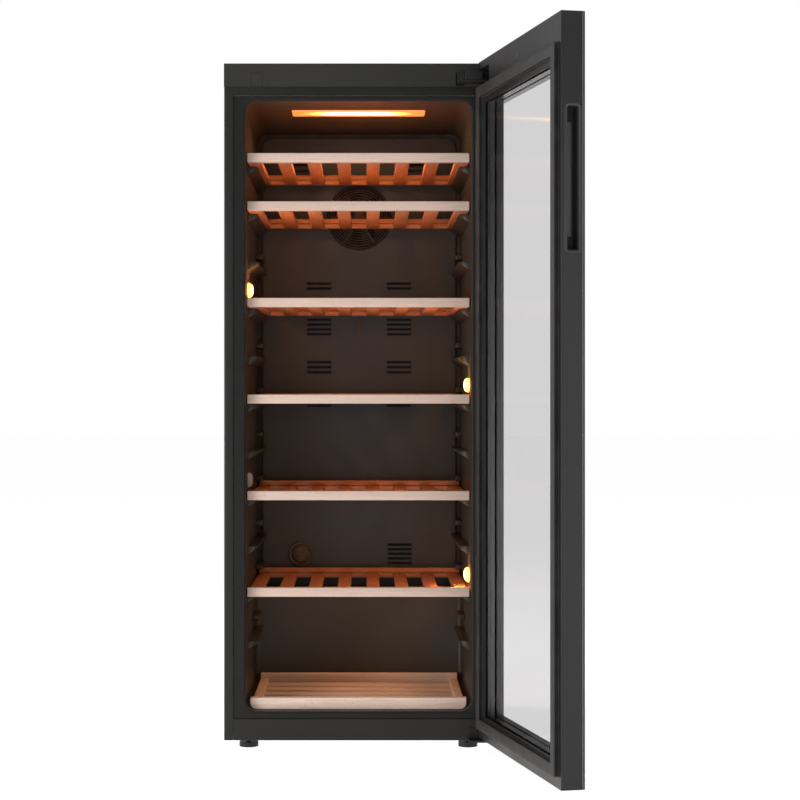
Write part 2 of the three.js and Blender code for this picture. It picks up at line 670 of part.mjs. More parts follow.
function rackDeck() {
  const front = SHELF_FRONT + LIP_THICKNESS + GAP;
  const back = SHELF_FRONT + RACK_DEPTH;
  const outer = rackHalf - RACK_RAIL_INSET;
  const inner = outer - RACK_RAIL_WIDTH;
  const low = rackBottom + RACK_RAIL_LIFT;
  const sides = [[-outer, -inner], [inner, outer]].map(([a, b]) =>
    box(a, b, front, back - 1, low, rackBottom + RACK_RAIL_TOP));
  const rail = union(
    box(-outer, outer, back - RAIL_THICKNESS, back, low, rackBottom + RACK_BACK),
    box(-inner, inner, back - RAIL_THICKNESS, back, rackBottom, rackBottom + RACK_BACK));
  const slats = [];
  for (let slat = 0; slat < RACK_SLATS; slat += 1) {
    const y = front + RACK_SLAT_START + slat * RACK_PITCH;
    slats.push(box(-inner - 1, inner + 1, y, y + RACK_SLAT_WIDTH, low, low + SLAT_HEIGHT - 2));
  }
  return union(...sides, rail, ...slats);
}

// ---- hinges and feet ----------------------------------------------------------------------
const pocket = { depth: 32, length: 70, bottom: HEIGHT - 45, top: HEIGHT - 14 };
const armBottom = hingeNotch.bottom + 2;
const armTop = armBottom + 5;
const plateUnder = FLOOR_GAP + 0.5;
const plateOver = plateUnder + 4;

function upperHingeBracket() {
  const neck = box(hingeNotch.inner + 1, hingeNotch.outer - 1, hingeY - 7, 34,
    armBottom, hingeNotch.top - 1.5);
  const foot = box(hingeNotch.inner - 31, hingeX - 5, 12, 60, shellTop + GAP, armBottom + 1);
  const arm = box(hingeNotch.inner + 1, hingeX, hingeY - ARM_RADIUS, hingeY + ARM_RADIUS,
    armBottom, armTop);
  return union(neck, foot, arm, rod(hingeX, hingeY, ARM_RADIUS, armBottom, armTop),
    rod(hingeX, hingeY, PIN_RADIUS, armBottom - PIN_LENGTH, armTop));
}

function upperHingeCover() {
  return alongZ(rounded(hingeNotch.outer - 1 + GAP, hingeX - 6, hingeY - 7, -CAP_PROUD - 1, 2),
    armTop + GAP, hingeNotch.top, 3);
}

function lowerHingeBracket() {
  const x0 = hingeX - 4 * ARM_RADIUS;
  const x1 = hingeX + ARM_RADIUS;
  return union(
    box(x0, x1, -2.2, -GAP, plateUnder, gasketBottom - 2),
    box(x0, hingeX, hingeY - ARM_RADIUS, -GAP, plateUnder, plateOver),
    box(hingeX - 1, x1, hingeY, -GAP, plateUnder, plateOver),
    rod(hingeX, hingeY, ARM_RADIUS, plateUnder, plateOver),
    rod(hingeX, hingeY, PIN_RADIUS, plateUnder, DOOR_BOTTOM + PIN_LENGTH - 3),
  );
}

const footX = halfWidth - FOOT_INSET;
const footPlaces = {
  front: [[-footX, 45], [footX, 45]],
  rear: [[-footX, CABINET_DEPTH - 36], [footX, CABINET_DEPTH - 36]],
};

function frontFoot([x, y]) {
  return union(
    rod(x, y, FOOT_RADIUS, 0, PAD_HEIGHT, 12),
    rod(x, y, STEM_RADIUS, PAD_HEIGHT - 1, STEM_TOP),
  );
}

const rearFoot = ([x, y]) => rod(x, y, FOOT_RADIUS - 3, 0, FLOOR_GAP - GAP);

// ---- door ---------------------------------------------------------------------------------
const glassHalf = frameHalf + REBATE;
const glassTop = frameTop + REBATE;
const glassBottom = frameBottom - REBATE;
const frameFront = doorOuter + GLASS_OUTER + GAP;
const innerGlassBack = doorInner - FRAME_LIP - GAP;
const cavityWidth = (innerGlassBack - GLASS_INNER - frameFront + GAP - GLASS_INNER) / 2;
const middleGlassBack = innerGlassBack - GLASS_INNER - cavityWidth;
const gripHollow = GRIP_DEPTH + GRIP_WALL + GAP;
const gripMiddle = (doorInner + doorOuter) / 2;

const pane = (y0, y1) =>
  box(-glassHalf + GAP, glassHalf - GAP, y0, y1, glassBottom + GAP, glassTop - GAP);

function gripBox(margin, depth) {
  const shape = rounded(gripMiddle - GRIP_WIDTH / 2 - margin, gripMiddle + GRIP_WIDTH / 2 + margin,
    gripBottom - margin, gripBottom + GRIP_LENGTH + margin, 6 + margin);
  return alongX(shape, -halfWidth - 1, -halfWidth + depth, 3);
}

function doorFrame() {
  const body = box(-halfWidth, halfWidth, frameFront, doorInner, DOOR_BOTTOM, HEIGHT);
  const window = box(-frameHalf, frameHalf, frameFront - 1, doorInner + 1, frameBottom, frameTop);
  const seat = box(-glassHalf, glassHalf, frameFront - 1, doorInner - FRAME_LIP, glassBottom, glassTop);
  const hingePocket = box(halfWidth - pocket.length, halfWidth + 1, doorInner - pocket.depth,
    doorInner + 1, pocket.bottom, pocket.top);
  const bore = BUSH_RADIUS + GAP;
  return cut(body, window, seat, hingePocket, gripBox(GRIP_WALL + GAP, gripHollow),
    rod(hingeX, hingeY, bore, pocket.bottom - PIN_LENGTH, pocket.bottom + 1),
    rod(hingeX, hingeY, bore, DOOR_BOTTOM - 1, DOOR_BOTTOM + PIN_LENGTH),
    box(-magnetHalf - GAP, magnetHalf + GAP, doorInner - 3 - GAP, doorInner + 1,
      magnetZ - magnetHalf - GAP, magnetZ + magnetHalf + GAP));
}

const magnetHalf = 7.5;
const magnetZ = HEIGHT - 29;
const doorMagnet = () => box(-magnetHalf, magnetHalf, doorInner - 3, doorInner,
  magnetZ - magnetHalf, magnetZ + magnetHalf);

const outerGlass = () => box(-halfWidth, halfWidth, doorOuter, doorOuter + GLASS_OUTER,
  DOOR_BOTTOM, HEIGHT);
const middleGlass = () => pane(middleGlassBack - GLASS_INNER, middleGlassBack);
const innerGlass = () => pane(innerGlassBack - GLASS_INNER, innerGlassBack);

function spacer(y0, y1) {
  const edge = GAP + 1;
  const band = SPACER_BAND + edge;
  return cut(
    box(-glassHalf + edge, glassHalf - edge, y0 + GAP, y1 - GAP, glassBottom + edge, glassTop - edge),
    box(-glassHalf + band, glassHalf - band, y0 - 1, y1 + 1, glassBottom + band, glassTop - band));
}

function doorGasket() {
  const half = halfWidth - GASKET_INSET;
  const y0 = doorInner + GAP;
  const y1 = -GASKET_AIR;
  const ring = (inset, back, front) => cut(
    alongY(rounded(-half + inset, half - inset, gasketBottom + inset, gasketTop - inset, 4),
      back, front, 2),
    box(-half + GASKET_WIDTH - inset, half - GASKET_WIDTH + inset, back - 1, front + 1,
      gasketBottom + GASKET_WIDTH - inset, gasketTop - GASKET_WIDTH + inset));
  return union(ring(0, y0, y0 + 3), ring(5, y0 + 2, y1 - 3), ring(2, y1 - 4, y1));
}

function handleCup() {
  const rim = alongX(rounded(gripMiddle - GRIP_WIDTH / 2 - GRIP_RIM, gripMiddle + GRIP_WIDTH / 2 + GRIP_RIM,
    gripBottom - GRIP_RIM, gripBottom + GRIP_LENGTH + GRIP_RIM, 8), -halfWidth - 1, -halfWidth - GAP, 3);
  const cup = gripBox(GRIP_WALL, gripHollow - GAP);
  const ridge = alongX(rounded(gripMiddle - GRIP_RIDGE_WIDTH / 2, gripMiddle + GRIP_RIDGE_WIDTH / 2,
    gripBottom + GRIP_RIDGE_END, gripBottom + GRIP_LENGTH - GRIP_RIDGE_END, 4),
  -halfWidth + GRIP_DEPTH - GRIP_RIDGE_RISE, -halfWidth + GRIP_DEPTH + 1, 3);
  return union(cut(union(rim, cup), gripBox(0, GRIP_DEPTH)), ridge);
}

function bush(z0, z1) {
  return cut(rod(hingeX, hingeY, BUSH_RADIUS, z0, z1),
    rod(hingeX, hingeY, PIN_RADIUS + RUNNING, z0 - 1, z1 + 1));
}

// ---- assembly -----------------------------------------------------------------------------
part('outer_shell', outerShell(), darkSteel);
part('kick_panel', kickPanel(), darkSteel);
part('base_tray', baseTray(), galvanised);
part('insulation_foam', insulationFoam(), foamYellow);
part('inner_liner', innerLiner(), linerPlastic);
part('rear_sheet', rearSheet(), darkSteel);
part('top_cap', topCap(), capPlastic);
part('hinge_plug', hingePlug(), capPlastic);
part('control_box', box(CONTROL_BOX.left, CONTROL_BOX.right, CONTROL_BOX.front, CONTROL_BOX.back,
  shellTop + 1, shellTop + CONTROL_BOX.height), blackPlastic);

part('compressor_plate', compressorPlate(), galvanised);
part('compressor', compressor(), compressorBlack);
part('drip_tray', dripTray(), blackPlastic);
part('machine_cover', machineCover(), darkSteel);
part('cord_gland', cordGland(), rubber);
part('condenser_coil', condenserCoil(), compressorBlack);
part('evaporator', evaporator(), aluminium);

part('duct_panel', ductPanel(), panelPlastic);
part('fan_grille', fanGrille(), panelPlastic);
part('fan_motor', fanMotor(), blackPlastic);
part('fan_impeller', fanImpeller(), blackPlastic);
part('charcoal_filter', charcoalFilter(), charcoal);
part('sensor_cover', sensorCover(), charcoal);
part('ceiling_lamp_lens', ceilingLens(), lampGlow);
part('ceiling_lamp_board', lampBoard(), aluminium);
sideLamps.forEach((lamp, index) => part(`side_lamp_${index + 1}`, sideLamp(lamp), lampGlow));

SHELF_SLOTS.forEach((slot, index) => {
  const top = shelfTop(slot);
  part(`shelf_${index + 1}_front`, shelfFront(top), beech);
  part(`shelf_${index + 1}_deck`, shelfDeck(top), beech);
});
part('rack_front', rackFront(), beech);
part('rack_deck', rackDeck(), beech);

part('upper_hinge_bracket', upperHingeBracket(), zinc);
part('upper_hinge_cover', upperHingeCover(), blackPlastic);
part('lower_hinge_bracket', lowerHingeBracket(), zinc);
footPlaces.front.forEach((place, index) =>
  part(`front_foot_${['left', 'right'][index]}`, frontFoot(place), blackPlastic));
footPlaces.rear.forEach((place, index) =>
  part(`rear_foot_${['left', 'right'][index]}`, rearFoot(place), blackPlastic));

part('door_frame', doorFrame(), doorPlastic, leaf);
part('door_glass_outer', outerGlass(), glass, leaf);
part('door_glass_middle', middleGlass(), glass, leaf);
part('door_glass_inner', innerGlass(), glass, leaf);
part('spacer_outer', spacer(frameFront - GAP, middleGlassBack - GLASS_INNER), aluminium, leaf);
part('spacer_inner', spacer(middleGlassBack, innerGlassBack - GLASS_INNER), aluminium, leaf);
part('door_gasket', doorGasket(), rubber, leaf);
part('handle_cup', handleCup(), blackPlastic, leaf);
part('hinge_bush_top', bush(pocket.bottom - PIN_LENGTH + GAP, pocket.bottom), blackPlastic, leaf);
part('hinge_bush_bottom', bush(DOOR_BOTTOM, DOOR_BOTTOM + PIN_LENGTH - GAP), blackPlastic, leaf);
part('door_magnet', doorMagnet(), blackPlastic, leaf);

cooler.updateMatrixWorld(true);
const extent = new THREE.Box3().setFromObject(cooler);
const middle = extent.getCenter(new THREE.Vector3());
cooler.position.set(-middle.x, -middle.y, -extent.min.z);

export default cooler;
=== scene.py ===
import json
import math

import bmesh
import bpy
from mathutils import Matrix, Vector


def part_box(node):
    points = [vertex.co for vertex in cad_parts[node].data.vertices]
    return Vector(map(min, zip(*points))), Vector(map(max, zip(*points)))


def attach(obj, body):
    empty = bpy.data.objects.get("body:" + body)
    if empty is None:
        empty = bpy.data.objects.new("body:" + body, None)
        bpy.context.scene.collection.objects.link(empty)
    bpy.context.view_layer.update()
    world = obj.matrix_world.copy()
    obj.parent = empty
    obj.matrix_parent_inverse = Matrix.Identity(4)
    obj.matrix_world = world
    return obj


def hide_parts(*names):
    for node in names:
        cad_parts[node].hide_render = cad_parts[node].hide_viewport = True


bl_info = {
    "name": "Wine cooler",
    "version": (1, 0, 0),
    "blender": (4, 5, 0),
    "location": "View3D > Sidebar > Wine cooler",
    "description": "Finishes a free-standing wine cooler with a glass door and beech shelves",
    "category": "Add Mesh",
}

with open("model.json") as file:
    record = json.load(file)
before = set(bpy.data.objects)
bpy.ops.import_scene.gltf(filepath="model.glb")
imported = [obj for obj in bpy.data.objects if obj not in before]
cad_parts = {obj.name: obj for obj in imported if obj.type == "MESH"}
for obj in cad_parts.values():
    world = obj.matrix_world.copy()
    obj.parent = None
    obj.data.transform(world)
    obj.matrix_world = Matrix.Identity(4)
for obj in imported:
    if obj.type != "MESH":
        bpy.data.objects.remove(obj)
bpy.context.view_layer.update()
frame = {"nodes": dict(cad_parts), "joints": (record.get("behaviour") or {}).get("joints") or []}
MM = 0.001

SHELVES = [f"shelf_{n}" for n in range(1, 7)]
SIDE_LAMPS = [f"side_lamp_{n}" for n in range(1, 5)]
UNLIT_LAMP = "side_lamp_3"
SHEEN = 0.3
GASKET_WIDTH = 21 * MM
LIP_HEIGHT = 17 * MM
STEP_SETBACK = 116 * MM  # step's face in front of the duct panel's
TOUCH = 0.3 * MM  # gap between pieces that touch
WELD = 1e-6
GLOW_RIM, GLOW_MIDDLE, GLOW_CORE = (0.75, 0.22, 0.03), (1.0, 0.42, 0.07), (1.0, 0.80, 0.42)


# ---- where the frame puts things ------------------------------------------------------------
def joint(name):
    return next(j for j in frame["joints"] if j["name"] == name)


hinge = joint("door_hinge")
HINGE_AXIS = Vector(hinge["pos_m"])
DOOR_OPEN = math.radians(-hinge["range_deg"][0])
SHUT_TO_OPEN = (
    Matrix.Translation(HINGE_AXIS) @ Matrix.Rotation(DOOR_OPEN, 4, "Z") @ Matrix.Translation(-HINGE_AXIS)
)


def shut_box(node):
    """Lowest and highest corner of a door node with the door shut."""
    back = SHUT_TO_OPEN.inverted()
    places = [back @ v.co for v in frame["nodes"][node].data.vertices]
    low = Vector(min(p[axis] for p in places) for axis in range(3))
    high = Vector(max(p[axis] for p in places) for axis in range(3))
    return low, high


lens_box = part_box("ceiling_lamp_lens")
lip_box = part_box("shelf_1_front")
panel_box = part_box("duct_panel")
flange_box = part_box("inner_liner")
rack_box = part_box("rack_front")

CENTRE = (lip_box[0].x + lip_box[1].x) / 2
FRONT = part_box("outer_shell")[0].y


# ---- sizes and colours a user would change ------------------------------------------------
def length_property(name, description, default):
    return bpy.props.FloatProperty(name=name, description=description, default=default, min=0.0,
                                   unit="LENGTH", precision=4)


def colour_property(name, description, default):
    return bpy.props.FloatVectorProperty(name=name, description=description, default=default,
                                         subtype="COLOR", min=0, max=1)


class CoolerSizes(bpy.types.PropertyGroup):
    """Sizes of the finishing work."""

    edge_radius: length_property("Sheet edge radius", "Rounding of metal and plastic edges", 0.6 * MM)
    wood_radius: length_property("Wood edge radius", "Rounding of the lips, slats and rails", 1.4 * MM)
    opening_radius: length_property("Opening corner radius", "Corners of the cavity", 22 * MM)
    shelf_clearance: length_property("Shelf side clearance", "Shelf lip to the cavity wall", 3 * MM)
    enamel_side: length_property("Enamel border", "Black border behind the outer glass", 40 * MM)
    grille_rings: bpy.props.IntProperty(
        name="Grille rings", description="Rings across the fan grille", default=10, min=2, max=12)


class CoolerColours(bpy.types.PropertyGroup):
    """Colours of the finishes, linear."""

    steel: colour_property("Painted steel", "Shell, kick panel and rear sheet", (0.0102, 0.0099, 0.0092))
    cap: colour_property("Cap plastic", "Top cap and blanking plug", (0.0255, 0.0246, 0.0228))
    # The flange is the walls' plastic given a darker colour: painted shade round the opening.
    flange: colour_property("Liner flange", "Flange round the opening", (0.0050, 0.0049, 0.0044))
    liner: colour_property("Liner walls", "Walls, ceiling and ledges", (0.040, 0.035, 0.027))
    door: colour_property("Door frame", "Painted door frame", (0.0185, 0.0182, 0.0178))
    rubber: colour_property("Rubber", "Gasket and cord gland", (0.012, 0.012, 0.012))
    # The duct panel's two colours are painted light: the bluish middle stands for the neutral front light,
    # the warmer sides for the amber lamp light.
    panel: colour_property("Duct panel", "Panel over the air duct", (0.051, 0.064, 0.088))
    panel_sides_painted_light: colour_property("Duct panel, sides", "Panel over the air duct", (0.048, 0.047, 0.043))
    beech_light: colour_property("Beech, light", "Light fibres of the wood", (0.70, 0.535, 0.445))
    beech_dark: colour_property("Beech, dark", "Dark fibres and flecks of the wood", (0.50, 0.33, 0.26))
    oiled_light: colour_property("Slat wood, light", "Light fibres of the oiled slats", (0.50, 0.20, 0.10))
    oiled_dark: colour_property("Slat wood, dark", "Dark fibres of the oiled slats", (0.30, 0.095, 0.045))
    amber: colour_property("Lamp light", "Colour of the lamps", (1.0, 0.46, 0.15))
    pane: colour_property("Glass", "What one face of a pane lets through", (0.939, 0.937, 0.938))


def sizes():
    return bpy.context.scene.cooler_sizes


def colours():
    return bpy.context.scene.cooler_colours


# ---- materials ------------------------------------------------------------------------------
def new_material(name, colour, roughness, metallic=0.0):
    material = bpy.data.materials.new(name)
    material.use_nodes = True
    shader = material.node_tree.nodes["Principled BSDF"]
    shader.inputs["Base Color"].default_value = (*colour, 1)
    shader.inputs["Roughness"].default_value = roughness
    shader.inputs["Metallic"].default_value = metallic
    shader.inputs["Specular IOR Level"].default_value = SHEEN
    return material, shader


def feed(node, socket, source):
    """Links an output into a node's socket."""
    node.id_data.links.new(source, node.inputs[socket])


def maths(material, operation, first, second=0.0):
    """A sum of two values, the first of them linked."""
    node = material.node_tree.nodes.new("ShaderNodeMath")
    node.operation = operation
    feed(node, 0, first)
    node.inputs[1].default_value = second
    return node.outputs["Value"]


def spread(material, value, reach, low, high, smooth=False):
    """Maps a value from nought to its reach onto a range."""
    node = material.node_tree.nodes.new("ShaderNodeMapRange")
    if smooth:
        node.interpolation_type = "SMOOTHERSTEP"
    for socket, number in (("From Max", reach), ("To Min", low), ("To Max", high)):
        node.inputs[socket].default_value = number
    feed(node, "Value", value)
    return node.outputs["Result"]


def pattern(material, stretch, scale, detail=4.0, kind="ShaderNodeTexNoise"):
    """A texture on object coordinates, stretched along an axis."""
    nodes = material.node_tree.nodes
    mapping = nodes.new("ShaderNodeMapping")
    mapping.inputs["Scale"].default_value = stretch
    feed(mapping, "Vector", nodes.new("ShaderNodeTexCoord").outputs["Object"])
    texture = nodes.new(kind)
    texture.inputs["Scale"].default_value = scale
    if "Detail" in texture.inputs:
        texture.inputs["Detail"].default_value = detail
    feed(texture, "Vector", mapping.outputs["Vector"])
    return texture


def ramp(material, source, stops):
    """A colour ramp over a texture's value."""
    node = material.node_tree.nodes.new("ShaderNodeValToRGB")
    elements = node.color_ramp.elements
    while len(elements) < len(stops):
        elements.new(0.5)
    for element, (place, value) in zip(elements, stops):
        element.position = place
        element.color = (*value, 1) if isinstance(value, (tuple, list)) else (value, value, value, 1)
    feed(node, "Fac", source)
    return node.outputs["Color"]


def bump(material, shader, height, strength, distance):
    node = material.node_tree.nodes.new("ShaderNodeBump")
    node.inputs["Strength"].default_value = strength
    node.inputs["Distance"].default_value = distance
    feed(node, "Height", height)
    feed(shader, "Normal", node.outputs["Normal"])


def glossed(material, shader, source, places, roughness, spread_down, spread_up):
    """A roughness that varies about a middle value."""
    lower, upper = roughness - spread_down, roughness + spread_up
    feed(shader, "Roughness", ramp(material, source, [(places[0], lower), (places[1], upper)]))


def tinted(material, shader, source, colour, places, factors):
    """A base colour that runs from a darker to a lighter tone of one colour."""
    tones = [tuple(min(1, c * factor) for c in colour) for factor in factors]
    feed(shader, "Base Color", ramp(material, source, list(zip(places, tones))))


def painted(name, colour, roughness=0.42, texture_scale=900.0):
    """Powder coat: a fine orange peel, a little uneven in tone and gloss."""
    material, shader = new_material(name, colour, roughness)
    cloud = pattern(material, (1, 1, 1), 9.0, 3.0)
    tinted(material, shader, cloud.outputs["Fac"], colour, (0.3, 0.7), (0.9, 1.12))
    glossed(material, shader, cloud.outputs["Fac"], (0.3, 0.7), roughness, 0.05, 0.05)
    peel = pattern(material, (1, 1, 1), texture_scale, 2.0)
    bump(material, shader, peel.outputs["Fac"], 0.25, 0.00012)
    return material


def moulded(name, colour, roughness=0.5):
    """Moulded plastic with a spark-eroded grain."""
    material, shader = new_material(name, colour, roughness)
    cloud = pattern(material, (1, 1, 1), 6.0, 2.0)
    tinted(material, shader, cloud.outputs["Fac"], colour, (0.3, 0.7), (0.92, 1.08))
    grain = pattern(material, (1, 1, 1), 1400.0, 1.0, "ShaderNodeTexVoronoi")
    glossed(material, shader, grain.outputs["Distance"], (0.0, 0.9), roughness, 0.06, 0.06)
    bump(material, shader, grain.outputs["Distance"], 0.3, 0.00008)
    return material


def paint_light_across(material, middle, sides, half):
    """Paints light across the cabinet: fades a colour from the middle to the sides, standing in for front
    light in the middle and amber lamp light at the sides.
    """
    nodes = material.node_tree.nodes
    split = nodes.new("ShaderNodeSeparateXYZ")
    feed(split, "Vector", nodes.new("ShaderNodeTexCoord").outputs["Object"])
    away = maths(material, "ABSOLUTE", maths(material, "SUBTRACT", split.outputs["X"], CENTRE))
    part = spread(material, away, half, 0.0, 1.0)
    feed(nodes["Principled BSDF"], "Base Color", ramp(material, part, [(0.15, middle), (0.75, sides)]))


def beech(name, along, light=None, dark=None):
    """Steamed beech: fine fibres and short flecks along the grain."""
    light, dark = tuple(light or colours().beech_light), tuple(dark or colours().beech_dark)
    material, shader = new_material(name, light, 0.55)
    stretch = [1.0, 1.0, 1.0]
    stretch[along] = 0.05
    fibres = pattern(material, stretch, 420.0, 6.0)
    broad = pattern(material, stretch, 60.0, 3.0)
    fleck_stretch = [1.0, 0.45, 0.3]
    fleck_stretch[along] = 0.9
    flecks = pattern(material, fleck_stretch, 700.0, 1.0)
    middle = tuple(0.75 * a + 0.25 * b for a, b in zip(light, dark))
    base = ramp(material, fibres.outputs["Fac"], [(0.32, middle), (0.62, light)])
    bands = ramp(material, broad.outputs["Fac"], [(0.35, 0.9), (0.65, 1.0)])
    marks = ramp(material, flecks.outputs["Fac"], [(0.66, 0.0), (0.72, 0.55)])
    toned = mix_colour(material, "MULTIPLY", 1.0, base, bands)
    fleck_colour = material.node_tree.nodes.new("ShaderNodeRGB")
    fleck_colour.outputs[0].default_value = (*dark, 1)
    marked = mix_colour(material, "MIX", marks, toned, fleck_colour.outputs[0])
    feed(shader, "Base Color", marked)
    feed(shader, "Roughness", ramp(material, fibres.outputs["Fac"], [(0.3, 0.62), (0.7, 0.48)]))
    bump(material, shader, fibres.outputs["Fac"], 0.35, 0.00015)
    return material


def mix_colour(material, blend, factor, first, second):
    node = material.node_tree.nodes.new("ShaderNodeMix")
    node.data_type = "RGBA"
    node.blend_type = blend
    if isinstance(factor, float):
        node.inputs["Factor"].default_value = factor
    else:
        feed(node, "Factor", factor)
    feed(node, "A", first)
    feed(node, "B", second)
    return node.outputs["Result"]


def brushed(name, colour, along, roughness=0.35):
    """Plated or bare metal with a drawn grain."""
    material, shader = new_material(name, colour, roughness, 1.0)
    stretch = [1.0, 1.0, 1.0]
    stretch[along] = 0.03
    grain = pattern(material, stretch, 700.0, 4.0)
    glossed(material, shader, grain.outputs["Fac"], (0.3, 0.7), roughness, 0.1, 0.15)
    bump(material, shader, grain.outputs["Fac"], 0.15, 0.00006)
    return material


def rubber(name, colour):
    """Soft extruded rubber with a faint bloom."""
    material, shader = new_material(name, colour, 0.7)
    bloom = pattern(material, (1, 1, 1), 40.0, 5.0)
    tinted(material, shader, bloom.outputs["Fac"], colour, (0.35, 0.7), (0.8, 1.5))
    feed(shader, "Roughness", ramp(material, bloom.outputs["Fac"], [(0.3, 0.55), (0.7, 0.8)]))
    fine = pattern(material, (1, 1, 1), 1200.0, 2.0)
    bump(material, shader, fine.outputs["Fac"], 0.2, 0.00008)
    return material


def pane_glass(name):
    """A thin pane: mostly clear, with a grazing reflection."""
    material = bpy.data.materials.new(name)
    material.use_nodes = True
    nodes = material.node_tree.nodes
    nodes.remove(nodes["Principled BSDF"])
    clear = nodes.new("ShaderNodeBsdfTransparent")
    clear.inputs["Color"].default_value = (*colours().pane, 1)
    gloss = nodes.new("ShaderNodeBsdfGlossy")
    gloss.inputs["Roughness"].default_value = 0.01
    gloss.inputs["Color"].default_value = (0.9, 0.92, 0.92, 1)
    facing = nodes.new("ShaderNodeLayerWeight")
    facing.inputs["Blend"].default_value = 0.5
    steep = maths(material, "POWER", facing.outputs["Facing"], 5.0)
    mixed = nodes.new("ShaderNodeMixShader")
    feed(mixed, "Fac", spread(material, steep, 1.0, 0.004, 0.03))
    feed(mixed, 1, clear.outputs["BSDF"])
    feed(mixed, 2, gloss.outputs["BSDF"])
    feed(nodes["Material Output"], "Surface", mixed.outputs["Shader"])
    return material


def foam(name):
    """Cut rigid foam with fine cells."""
    material, shader = new_material(name, (0.68, 0.58, 0.26), 0.9)
    cells = pattern(material, (1, 1, 1), 500.0, 0.0, "ShaderNodeTexVoronoi")
    tone = ramp(material, cells.outputs["Distance"], [(0.0, (0.5, 0.42, 0.18)), (0.7, (0.72, 0.62, 0.3))])
    feed(shader, "Base Color", tone)
    bump(material, shader, cells.outputs["Distance"], 0.6, 0.0004)
    return material


def spacer_metal(name):
    """Aluminium spacer with rows of small breathing holes."""
    material, shader = new_material(name, (0.10, 0.10, 0.10), 0.22, 0.9)
    holes = pattern(material, (1, 1, 1), 260.0, 0.0, "ShaderNodeTexVoronoi")
    holes.inputs["Randomness"].default_value = 0.15
    feed(shader, "Base Color", ramp(material, holes.outputs["Distance"], [(0.25, 0.02), (0.36, 0.11)]))
    bump(material, shader, holes.outputs["Distance"], 0.4, 0.0002)
    return material


def lamp_cover(name, centres, reach, strength, squash=(1, 1, 1)):
    """Frosted cover, brightest over each light source and amber between them."""
    material, shader = new_material(name, (0.85, 0.55, 0.3), 0.35)
    nodes = material.node_tree.nodes
    drawn = nodes.new("ShaderNodeVectorMath")
    drawn.operation = "MULTIPLY"
    feed(drawn, 0, nodes.new("ShaderNodeTexCoord").outputs["Object"])
    drawn.inputs[1].default_value = squash
    total = None
    for centre in centres:
        away = nodes.new("ShaderNodeVectorMath")
        away.operation = "DISTANCE"
        feed(away, 0, drawn.outputs["Vector"])
        away.inputs[1].default_value = [c * s for c, s in zip(centre, squash)]
        fall = spread(material, away.outputs["Value"], reach, 1.0, 0.0, smooth=True)
        if total is not None:
            greater = maths(material, "MAXIMUM", total)
            feed(greater.node, 1, fall)
            fall = greater
        total = fall
    glow = ramp(material, total, [(0.0, GLOW_RIM), (0.5, GLOW_MIDDLE), (1.0, GLOW_CORE)])
    feed(shader, "Emission Color", glow)
    feed(shader, "Emission Strength", spread(material, total, 1.0, strength * 0.1, strength))
    return material


# ---- mesh work ------------------------------------------------------------------------------
def finished(bm, name, material, body, replaces=(), smooth_angle=35.0):
    """Closes a bmesh into a piece that rides on a body."""
    bmesh.ops.remove_doubles(bm, verts=bm.verts, dist=WELD)
    for face in bm.faces:
        face.smooth = True
    for edge in bm.edges:
        edge.smooth = len(edge.link_faces) == 2 and edge.calc_face_angle(0.0) < math.radians(smooth_angle)
    mesh = bpy.data.meshes.new(name)
    bm.to_mesh(mesh)
    bm.free()
    piece = bpy.data.objects.new(name, mesh)
    bpy.context.scene.collection.objects.link(piece)
    mesh.materials.append(material)
    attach(piece, body)
    if replaces:
        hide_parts(*replaces)
    return piece


def rounding(bm, edges, radius, segments=3):
    """Rounds some edges."""
    if radius > 0:
        bmesh.ops.bevel(bm, geom=list(edges), offset=radius, offset_type="OFFSET", segments=segments,
                        profile=0.5, affect="EDGES", material=-1, clamp_overlap=True)


def block(bm, low, high, radius=0.0, segments=2):
    """A box with round edges added to a bmesh."""
    part = bmesh.new()
    bmesh.ops.create_cube(part, size=1.0)
    low, high = Vector(low), Vector(high)
    bmesh.ops.scale(part, vec=high - low, verts=part.verts)
    bmesh.ops.translate(part, vec=(low + high) / 2, verts=part.verts)
    rounding(part, part.edges, radius, segments)
    add(bm, part)


def add(bm, part):
    """Moves one bmesh's contents into another."""
    scrap = bpy.data.meshes.new("scrap")
    part.to_mesh(scrap)
    part.free()
    bm.from_mesh(scrap)
    bpy.data.meshes.remove(scrap)


def plate(bm, low, high, radius, segments=8):
    """A face across X and Z at the low corner's depth, with round corners, facing the front."""
    corners = [(low.x, low.z), (high.x, low.z), (high.x, high.z), (low.x, high.z)]
    face = bm.faces.new([bm.verts.new((x, low.y, z)) for x, z in corners])
    bmesh.ops.bevel(bm, geom=list(face.verts), offset=radius, offset_type="OFFSET", segments=segments,
                    profile=0.5, affect="VERTICES", material=-1)
    return max(bm.faces, key=lambda f: f.calc_area())


def contour(bm, face, steps):
    """Steps a face inwards and along its normal."""
    for inwards, rise in steps:
        bmesh.ops.inset_region(bm, faces=[face], thickness=inwards, depth=rise,
                               use_boundary=True, use_even_offset=True, use_outset=False)


